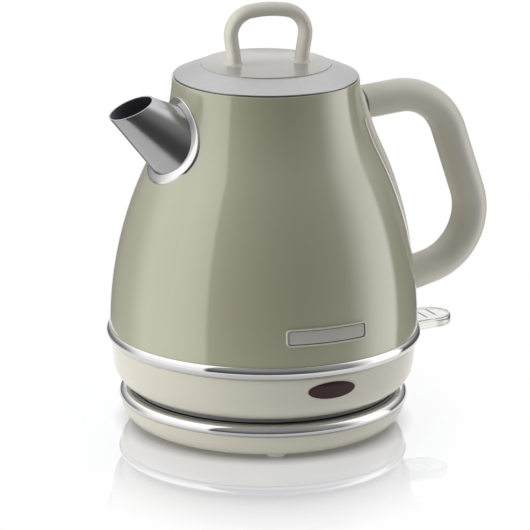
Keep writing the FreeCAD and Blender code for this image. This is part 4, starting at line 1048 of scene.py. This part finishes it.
class KETTLE_OT_handle(bpy.types.Operator):
    """Make the looped grip, the strip that it stands on and the water window"""

    bl_idname = "kettle.make_handle"
    bl_label = "Handle"

    def execute(self, context):
        sizes = context.scene.kettle_sizes
        wall = BodyWall(sizes)
        self.grip(sizes, wall)
        self.strip(sizes, wall)
        self.window(sizes, wall)
        return {"FINISHED"}

    def grip(self, sizes, wall):
        top_z = wall.top - sizes.handle_drop
        foot_z = wall.foot + sizes.handle_foot
        heel_z = wall.foot + sizes.handle_heel_height
        foot_slope = (heel_z - foot_z) / (sizes.handle_heel - wall.belly)
        top_slope = sizes.handle_top_rise / (sizes.handle_shoulder - sizes.neck_radius)
        sink = sizes.plate_thick - mm(1)
        root = wall.radius(top_z) + sink
        foot = wall.radius(foot_z) + sink
        corners = [
            (root, top_z + top_slope * (root - sizes.neck_radius)),
            (sizes.handle_shoulder, top_z + sizes.handle_top_rise),
            (sizes.handle_heel, heel_z),
            (foot, foot_z + foot_slope * (foot - wall.belly)),
        ]
        bends = (sizes.handle_bend, sizes.handle_bend)
        bm = swept_bar(corners, bends, sizes.handle_thick, sizes.handle_width, 48, 16)
        shift(bm, AXIS)
        settle(bm, "handle_grip_moulding", "satin_cream_plastic", "kettle", "handle_grip")

    def strip(self, sizes, wall):
        low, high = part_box("handle_backplate")
        pane_low, pane_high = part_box("water_window")
        gap = sizes.window_gap
        bm = bmesh.new()
        stadium(bm, high.y, low.z, high.z, fill=False)
        stadium(bm, pane_high.y + gap, pane_low.z - gap, pane_high.z + gap, fill=False)
        bmesh.ops.bridge_loops(bm, edges=bm.edges[:])
        thicken(bm, FIT, sizes.plate_thick)
        on_top = near_top(sizes.plate_thick)

        def outer_rim(edge):
            """Whether an edge of the top lies clear of the window's hole."""
            beside = max(abs(v.co.x) for v in edge.verts) > pane_high.y + 2 * gap
            below = min(v.co.y for v in edge.verts) < pane_low.z - 2 * gap
            above = max(v.co.y for v in edge.verts) > pane_high.z + 2 * gap
            return on_top(edge) and (beside or below or above)

        soften(bm, sizes.plate_round, 8, only=outer_rim)
        slice_up(bm, mm(3), ALONG_Y)
        slice_up(bm, mm(4), ALONG_X)
        press_on(bm, wall, on_handle_side)
        settle(bm, "handle_strip_moulding", "satin_cream_plastic", "kettle", "handle_backplate")

    def window(self, sizes, wall):
        low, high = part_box("water_window")
        bm = bmesh.new()
        stadium(bm, high.y, low.z, high.z, fill=True)
        slice_up(bm, mm(3), ALONG_Y)
        slice_up(bm, mm(3), ALONG_X)
        back = mm(1.1)
        thicken(bm, back, sizes.plate_thick)
        soften(bm, mm(0.5), 3, only=near_top(sizes.plate_thick))
        press_on(bm, wall, on_handle_side)
        settle(bm, "water_window_pane", "clear_plastic", "kettle", "water_window")


class KETTLE_OT_indicator(bpy.types.Operator):
    """Make the oval indicator lens in the skirt"""

    bl_idname = "kettle.make_indicator"
    bl_label = "Indicator lens"

    def execute(self, context):
        wall = SkirtWall(context.scene.kettle_sizes)
        low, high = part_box("indicator_lens")
        half_width = (high.x - low.x) / 2
        half_height = (high.z - low.z) / 2
        back, proud, crown, face = -mm(2), mm(0.35), mm(0.25), mm(0.4)
        bm = bmesh.new()
        bmesh.ops.create_circle(bm, cap_ends=True, segments=72, radius=1)
        bmesh.ops.scale(bm, vec=(half_width, half_height, 1), verts=bm.verts)
        slice_up(bm, mm(2), ALONG_X)
        slice_up(bm, mm(1.5), ALONG_Y)
        thicken(bm, back, proud)
        soften(bm, mm(0.3), 3, only=near_top(proud))
        for vert in bm.verts:
            if vert.co.z > proud - face:
                spread = (vert.co.x / half_width) ** 2 + (vert.co.y / half_height) ** 2
                vert.co.z += crown * max(0.0, 1 - spread)
        shift(bm, (0, (low.z + high.z) / 2, 0))
        press_on(bm, wall, on_lens_side)
        settle(bm, "indicator_lens_oval", "dark_red_lens", "kettle", "indicator_lens")
        return {"FINISHED"}


class KETTLE_OT_badge(bpy.types.Operator):
    """Make the blank badge: a raised frame, a black line in the groove as painted shade, and a plain panel"""

    bl_idname = "kettle.make_badge"
    bl_label = "Blank badge"

    def execute(self, context):
        sizes = context.scene.kettle_sizes
        wall = BodyWall(sizes)
        half_width, half_height = sizes.badge_width / 2, sizes.badge_height / 2
        corner = mm(2.2)
        spot = (sizes.badge_shift, wall.foot + sizes.badge_rise, 0)
        # From the edge inwards: name, finish, near and far inset, height over the wall
        rings = (
            ("badge_frame", "cream_gloss_plastic", 0, mm(0.8), mm(0.9)),
            # The black ring in the low groove between frame and panel is painted shade
            ("badge_groove_painted_shade", "black_plastic", mm(0.8), mm(1.2), mm(0.3)),
            ("badge_panel", "grey_gloss_plastic", mm(1.2), None, mm(0.45)),
        )
        for name, slot, near, far, height in rings:
            bm = bmesh.new()
            rounded_rectangle(bm, half_width - near, half_height - near, corner - near, fill=far is None)
            if far is not None:
                rounded_rectangle(bm, half_width - far, half_height - far, corner - far, fill=False)
                bmesh.ops.bridge_loops(bm, edges=bm.edges[:])
            slice_up(bm, mm(2), ALONG_X)
            thicken(bm, FIT, height)
            soften(bm, mm(0.1), 2, only=near_top(height))
            shift(bm, spot)
            press_on(bm, wall, on_lens_side)
            settle(bm, name, slot, "kettle")
        return {"FINISHED"}


class KETTLE_OT_lid(bpy.types.Operator):
    """Make the lid's cap, its disc and its finger loop"""

    bl_idname = "kettle.make_lid"
    bl_label = "Lid"

    def execute(self, context):
        sizes = context.scene.kettle_sizes
        self.cap(sizes)
        self.disc(sizes)
        self.loop(sizes)
        return {"FINISHED"}

    def cap(self, sizes):
        low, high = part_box("lid_cap")
        rim = (high.y - low.y) / 2

        def skin(drop):
            shoulder = low.z + sizes.lid_rim - drop / 2
            step = high.z - drop
            seat = step - sizes.lid_seat
            disc = sizes.lid_disc + drop
            edge = rim - drop
            middle = ((edge + disc) / 2, (shoulder + step) / 2 + sizes.lid_crown)
            cone = arc_points((edge, shoulder), middle, (disc, step), 14)
            return [(edge, low.z)] + cone + [(disc, seat), (0, seat)]

        bm = spun(skin(0)[::-1] + skin(sizes.lid_wall), closed=False)
        soften(bm, mm(0.22))
        shift(bm, AXIS)
        settle(bm, "lid_cap_pressed", "satin_steel", "lid", "lid_cap")

    def disc(self, sizes):
        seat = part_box("lid_loop")[0].z
        top = seat + sizes.lid_seat + sizes.lid_step
        radius = sizes.lid_disc - FIT
        bm = spun([(0, seat), (radius, seat), (radius, top), (0, top)], closed=False)
        soften(bm, mm(0.3))
        shift(bm, AXIS)
        # The disc is one moulding with the loop: its gloss is its own, its darker grey is painted shade
        settle(bm, "lid_disc_moulding", "grey_gloss_plastic", "lid", "lid_loop")

    def loop(self, sizes):
        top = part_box("lid_loop")[0].z + sizes.lid_seat + sizes.lid_step
        crown_z = top + sizes.loop_height - sizes.loop_thick / 2
        shoulder_z = crown_z - sizes.loop_crown
        foot_z = top - sizes.loop_thick
        corners = [
            (-sizes.loop_foot, foot_z),
            (-sizes.loop_shoulder, shoulder_z),
            (0, crown_z),
            (sizes.loop_shoulder, shoulder_z),
            (sizes.loop_foot, foot_z),
        ]
        bends = (sizes.loop_bend, sizes.loop_top_bend, sizes.loop_bend)
        bm = swept_bar(corners, bends, sizes.loop_thick, sizes.loop_width, 40, 14)
        cut_flat(bm, UP * (top + sizes.loop_fillet), -UP, clear=True)
        rims = open_rims(bm)
        for side in (-1, 1):
            self.flare(bm, [e for e in rims if e.verts[0].co.x * side > 0], sizes)
        bmesh.ops.holes_fill(bm, edges=bm.edges, sides=0)
        bmesh.ops.recalc_face_normals(bm, faces=bm.faces)
        shift(bm, ALONG_X * sizes.loop_shift)
        bmesh.ops.rotate(bm, cent=(0, 0, 0), matrix=Matrix.Rotation(sizes.loop_turn, 3, "Z"), verts=bm.verts)
        shift(bm, AXIS)
        settle(bm, "lid_loop_moulding", "satin_cream_plastic", "lid", "lid_loop")

    def flare(self, bm, ring, sizes):
        """Spread the open end of a leg to a quarter-round fillet that runs out on the disc."""
        spots = {v for e in ring for v in e.verts}
        xs = [v.co.x for v in spots]
        middle = Vector(((min(xs) + max(xs)) / 2, 0, 0))
        half_x, half_y = (max(xs) - min(xs)) / 2, max(v.co.y for v in spots)
        fillet, steps = sizes.loop_fillet, 6
        spread, drop = 0.0, 0.0
        for i in range(1, steps + 1):
            angle = math.pi / 2 * i / steps
            wider, lower = fillet * (1 - math.cos(angle)), fillet * math.sin(angle)
            moved, ring = grow_ring(bm, ring)
            growth = ((half_x + wider) / (half_x + spread), (half_y + wider) / (half_y + spread), 1)
            bmesh.ops.scale(bm, verts=moved, vec=growth, space=Matrix.Translation(-middle))
            bmesh.ops.translate(bm, verts=moved, vec=(0, 0, drop - lower))
            spread, drop = wider, lower


class KETTLE_OT_finishes(bpy.types.Operator):
    """Give every solid that still shows the material of its slot"""

    bl_idname = "kettle.finish_solids"
    bl_label = "Finish the solids"

    def execute(self, context):
        for name, node in frame["nodes"].items():
            node.data.materials.clear()
            # The strainer, deep in the spout, takes the darker bore steel as painted shade
            node.data.materials.append(finish("bore_steel" if name == "spout_filter" else SLOT_OF[name]))
        return {"FINISHED"}


# Stage


def eased(share):
    """Share held between nought and one, with soft ends."""
    share = min(1.0, max(0.0, share))
    return share * share * (3 - 2 * share)


def blended(stops, spot):
    """Value at a spot between stops of (spot, value)."""
    for (start, first), (end, last) in zip(stops, stops[1:]):
        if start <= spot <= end:
            return first + (last - first) * eased((spot - start) / (end - start))
    raise ValueError("the spot lies outside the stops")


class KETTLE_OT_stage(bpy.types.Operator):
    """Make the floor, the room with its glowing surround that paints reflections, the lamps and the camera"""

    bl_idname = "kettle.make_stage"
    bl_label = "Studio"

    def execute(self, context):
        scene = context.scene
        scene.view_settings.view_transform = "Standard"
        self.floor(scene)
        self.world(scene)
        self.surround(scene)
        self.lamps(scene)
        self.camera(scene)
        return {"FINISHED"}

    def seen(self, tree):
        """One for rays from the camera, mirrors and clear plastic, and nought for the light on the object."""
        path = add_node(tree, "ShaderNodeLightPath").outputs
        direct = add_node(tree, "ShaderNodeMath", {0: path["Is Camera Ray"], 1: path["Is Glossy Ray"]},
                          operation="MAXIMUM")
        either = add_node(tree, "ShaderNodeMath", {0: direct.outputs[0], 1: path["Is Transmission Ray"]},
                          operation="MAXIMUM")
        return either.outputs[0]

    def staged(self, bm, name, material):
        """Make a mesh an object with a material, which is no part of the kettle."""
        thing = as_object(bm, name)
        thing.data.materials.append(material)
        return thing

    def floor(self, scene):
        """White acrylic sheet with shadow, a painted contact shade and a faint mirror image, which fades to white.
        """
        studio, colours = scene.kettle_studio, scene.kettle_colours
        # Reach of the painted contact shade, the sheet's glow in the open, and the glow that lights the kettle
        painted_shade_reach, sheet_glow, sent_back = mm(15), 0.38, 0.3
        # Width of the sheet's oval to its depth, and the shares of the floor's radius that it fades between
        oval, fade_start, fade_end = 0.62, 0.48, 0.95
        material, tree, place = new_finish("floor_white_acrylic")
        tone = mottled(tree, place, 400, colours.floor, 0.004)
        # Painted contact shade: the sheet's glow dims to nothing where ambient occlusion finds the base near
        painted_contact_shade = add_node(tree, "ShaderNodeAmbientOcclusion", {"Distance": painted_shade_reach}, samples=16)
        strength = add_node(tree, "ShaderNodeMapRange", {
            "Value": painted_contact_shade.outputs["AO"],
            "From Min": 0.25,
            "From Max": 0.75,
            "To Min": 0.0,
            "To Max": sheet_glow,
        })
        glow = add_node(tree, "ShaderNodeEmission", {"Color": tone, "Strength": strength.outputs["Result"]})
        sheet = add_node(tree, "ShaderNodeBsdfPrincipled", {
            "Base Color": opaque(colours.sheet),
            "Roughness": 0.03,
            "Specular IOR Level": 1.0,
            "Coat Weight": 1.0,
            "Coat Roughness": 0.03,
            "Coat IOR": 1.5,
        })
        shaded = add_node(tree, "ShaderNodeAddShader", {0: glow.outputs[0], 1: sheet.outputs[0]})
        white = add_node(tree, "ShaderNodeEmission", {"Color": (1, 1, 1, 1), "Strength": 1.0})
        across = self.heading(scene, 90)
        turned = add_node(tree, "ShaderNodeMapping", {
            "Vector": place, "Location": AXIS, "Rotation": (0, 0, across), "Scale": (oval, 1, 1),
        }, vector_type="TEXTURE")
        out = add_node(tree, "ShaderNodeVectorMath", {0: turned.outputs[0]}, operation="LENGTH")
        fade = add_node(tree, "ShaderNodeMapRange", {
            "Value": out.outputs["Value"],
            "From Min": studio.table * fade_start,
            "From Max": studio.table * fade_end,
        }, interpolation_type="SMOOTHSTEP")
        shown = add_node(tree, "ShaderNodeMixShader", {
            0: fade.outputs["Result"], 1: shaded.outputs[0], 2: white.outputs[0],
        })
        matt = add_node(tree, "ShaderNodeBsdfDiffuse", {"Color": tone})
        back_light = add_node(tree, "ShaderNodeEmission", {"Color": tone, "Strength": sent_back})
        plain = add_node(tree, "ShaderNodeAddShader", {0: matt.outputs[0], 1: back_light.outputs[0]})
        mix = add_node(tree, "ShaderNodeMixShader", {
            0: self.seen(tree), 1: plain.outputs[0], 2: shown.outputs[0],
        })
        add_node(tree, "ShaderNodeOutputMaterial", {"Surface": mix.outputs[0]})
        bm = bmesh.new()
        bmesh.ops.create_circle(bm, cap_ends=True, segments=96, radius=studio.table)
        shift(bm, AXIS)
        self.staged(bm, "floor", material)

    def world(self, scene):
        """White where it is seen or mirrored past the surround, and an even grey room light on the object."""
        world = bpy.data.worlds.new("studio_room")
        scene.world = world
        world.use_nodes = True
        tree = world.node_tree
        tree.nodes.clear()
        strength = add_node(tree, "ShaderNodeMapRange", {
            "Value": self.seen(tree), "To Min": scene.kettle_studio.room, "To Max": 1.0,
        })
        room = add_node(tree, "ShaderNodeBackground", {
            "Color": (1, 1, 1, 1), "Strength": strength.outputs["Result"],
        })
        add_node(tree, "ShaderNodeOutputWorld", {"Surface": room.outputs[0]})

    def heading(self, scene, turn):
        """Angle about Z of a direction that is turned to the right of the camera's by degrees."""
        return -math.pi / 2 - scene.kettle_studio.azimuth + math.radians(turn)

    def surround(self, scene):
        """Glowing dome round and over the set, for mirrors alone, that paints their reflections: pale at the
        sides, dark by the camera.
        """
        material, tree, place = new_finish("glowing_surround_painted_reflections")
        tone = add_node(tree, "ShaderNodeAttribute", attribute_name="tone")
        level = add_node(tree, "ShaderNodeMath", {
            0: tone.outputs["Fac"], 1: varied(tree, place, 300.0, 0.97, 1.03),
        }, operation="MULTIPLY")
        glow = add_node(tree, "ShaderNodeEmission", {"Strength": level.outputs[0]})
        add_node(tree, "ShaderNodeOutputMaterial", {"Surface": glow.outputs[0]})
        # Turns to the right of the camera, each with the dome's glow there, at the foot and at the top; the bright
        # stops paint the reflections of the soft boxes, which mirrors don't show
        foot = (
            (-180, 1.0), (-168, 1.0), (-163, 0.2), (-122, 0.28), (-94, 1.25), (-44, 1.25), (-40, 0.1),
            (22, 0.1), (62, 0.28), (97, 1.9), (112, 1.9), (120, 0.12), (161, 0.12), (166, 1.0), (180, 1.0),
        )
        top = (
            (-180, 1.4), (-130, 1.7), (-44, 1.6), (-40, 0.42),
            (30, 0.34), (62, 0.4), (97, 1.6), (180, 1.4),
        )
        self.cloth(scene, foot, top, material)

    def cloth(self, scene, foot, top, material):
        """Glowing dome, with its tone blended from stop to stop and from foot to top."""
        reach, bands = 3.2, 32
        low, high = math.radians(-40), math.radians(89)
        blend_low, blend_high = math.radians(-4), math.radians(44)
        slopes = [low + (high - low) * i / bands for i in range(bands + 1)]
        bm = spun([(reach * math.cos(a), reach * math.sin(a)) for a in slopes], closed=False, steps=360)
        tone = bm.verts.layers.float.new("tone")
        for vert in bm.verts:
            turn = math.degrees(math.atan2(vert.co.y, vert.co.x) - self.heading(scene, 0))
            turn = (turn + 180) % 360 - 180
            slope = math.asin(vert.co.z / reach)
            rise = eased((slope - blend_low) / (blend_high - blend_low))
            vert[tone] = blended(foot, turn) * (1 - rise) + blended(top, turn) * rise
        shift(bm, AXIS)
        dome = self.staged(bm, "surround", material)
        dome.visible_camera = False
        dome.visible_diffuse = False
        dome.visible_shadow = False

    def lamps(self, scene):
        """Soft boxes to the left, right and top, which light the set and leave mirrors to the surround."""
        # Name, turn and rise in degrees, distance, width and height in metres, brightness, fade
        rows = (
            ("soft_box_left", -80, 13, 2.0, 3.12, 2.6, 1.9, 0.5),
            ("soft_box_right", 95, 13, 2.0, 2.04, 2.4, 1.55, 0.55),
            ("soft_box_top", 170, 62, 1.8, 2.0, 1.4, 0.55, 0.1),
        )
        for row in rows:
            self.soft_box(scene, *row)

    def soft_box(self, scene, name, turn, rise, distance, width, height, brightness, fade):
        """Flat lamp that faces the kettle; fade is the share of its width over which it grows bright."""
        lamp = bpy.data.lights.new(name, "AREA")
        lamp.shape = "RECTANGLE"
        lamp.size = width
        lamp.size_y = height
        # The face of a flat lamp is as bright as its power over four times its area
        lamp.energy = brightness * 4 * width * height
        lamp.use_nodes = True
        tree = lamp.node_tree
        tree.nodes.clear()
        across = add_node(tree, "ShaderNodeSeparateXYZ", {
            0: add_node(tree, "ShaderNodeNewGeometry").outputs["Parametric"],
        })
        ramp = add_node(tree, "ShaderNodeMapRange", {
            "Value": across.outputs["X"], "From Min": 0.0, "From Max": fade, "To Min": 0.0, "To Max": 1.0,
        }, interpolation_type="SMOOTHSTEP")
        glow = add_node(tree, "ShaderNodeEmission", {"Strength": ramp.outputs["Result"]})
        add_node(tree, "ShaderNodeOutputLight", {"Surface": glow.outputs[0]})
        box = bpy.data.objects.new(name, lamp)
        heading = self.heading(scene, turn)
        slope = math.radians(rise)
        level = math.cos(slope)
        away = Vector((level * math.cos(heading), level * math.sin(heading), math.sin(slope)))
        kettle_middle = AXIS + UP * mm(110)
        box.location = kettle_middle + away * distance
        box.rotation_euler = away.to_track_quat("Z", "Y").to_euler()
        box.visible_camera = False
        box.visible_glossy = False
        scene.collection.objects.link(box)

    def camera(self, scene):
        studio = scene.kettle_studio
        lens = bpy.data.cameras.new("photo_camera")
        lens.sensor_width = SENSOR
        lens.lens = SENSOR * studio.distance / studio.pixel / PICTURE_DOTS
        lens.shift_x = studio.side_shift / PICTURE_DOTS
        lens.clip_end = 20
        back = Vector((
            -math.sin(studio.azimuth) * math.cos(studio.elevation),
            -math.cos(studio.azimuth) * math.cos(studio.elevation),
            math.sin(studio.elevation),
        ))
        camera = bpy.data.objects.new("photo_camera", lens)
        camera.location = AXIS + UP * studio.target + back * studio.distance
        aim = back.to_track_quat("Z", "Y") @ Matrix.Rotation(studio.roll, 3, "Z").to_quaternion()
        camera.rotation_euler = aim.to_euler()
        scene.collection.objects.link(camera)
        scene.camera = camera


class KETTLE_PT_panel(bpy.types.Panel):
    """Sidebar panel of the kettle"""

    bl_idname = "KETTLE_PT_panel"
    bl_label = "Electric kettle"
    bl_space_type = "VIEW_3D"
    bl_region_type = "UI"
    bl_category = "Kettle"

    def draw(self, context):
        for maker in MAKERS:
            self.layout.operator(maker.bl_idname)
        for group in (context.scene.kettle_sizes, context.scene.kettle_colours, context.scene.kettle_studio):
            column = self.layout.column(align=True)
            for name in group.__annotations__:
                column.prop(group, name)


MAKERS = (
    KETTLE_OT_finishes, KETTLE_OT_base, KETTLE_OT_skirt, KETTLE_OT_body, KETTLE_OT_spout, KETTLE_OT_handle,
    KETTLE_OT_indicator, KETTLE_OT_badge, KETTLE_OT_lid, KETTLE_OT_stage,
)
GROUPS = {"kettle_sizes": KettleSizes, "kettle_colours": KettleColours, "kettle_studio": StudioSettings}


def register():
    for group in GROUPS.values():
        bpy.utils.register_class(group)
    for name, group in GROUPS.items():
        setattr(bpy.types.Scene, name, PointerProperty(type=group))
    for maker in MAKERS:
        bpy.utils.register_class(maker)
    bpy.utils.register_class(KETTLE_PT_panel)


def unregister():
    bpy.utils.unregister_class(KETTLE_PT_panel)
    for maker in reversed(MAKERS):
        bpy.utils.unregister_class(maker)
    for name in GROUPS:
        delattr(bpy.types.Scene, name)
    for group in GROUPS.values():
        bpy.utils.unregister_class(group)


def main():
    register()
    bpy.ops.kettle.finish_solids()
    bpy.ops.kettle.make_base()
    bpy.ops.kettle.make_skirt()
    bpy.ops.kettle.make_body()
    bpy.ops.kettle.make_spout()
    bpy.ops.kettle.make_handle()
    bpy.ops.kettle.make_indicator()
    bpy.ops.kettle.make_badge()
    bpy.ops.kettle.make_lid()
    bpy.ops.kettle.make_stage()


if __name__ == "__main__":
    main()
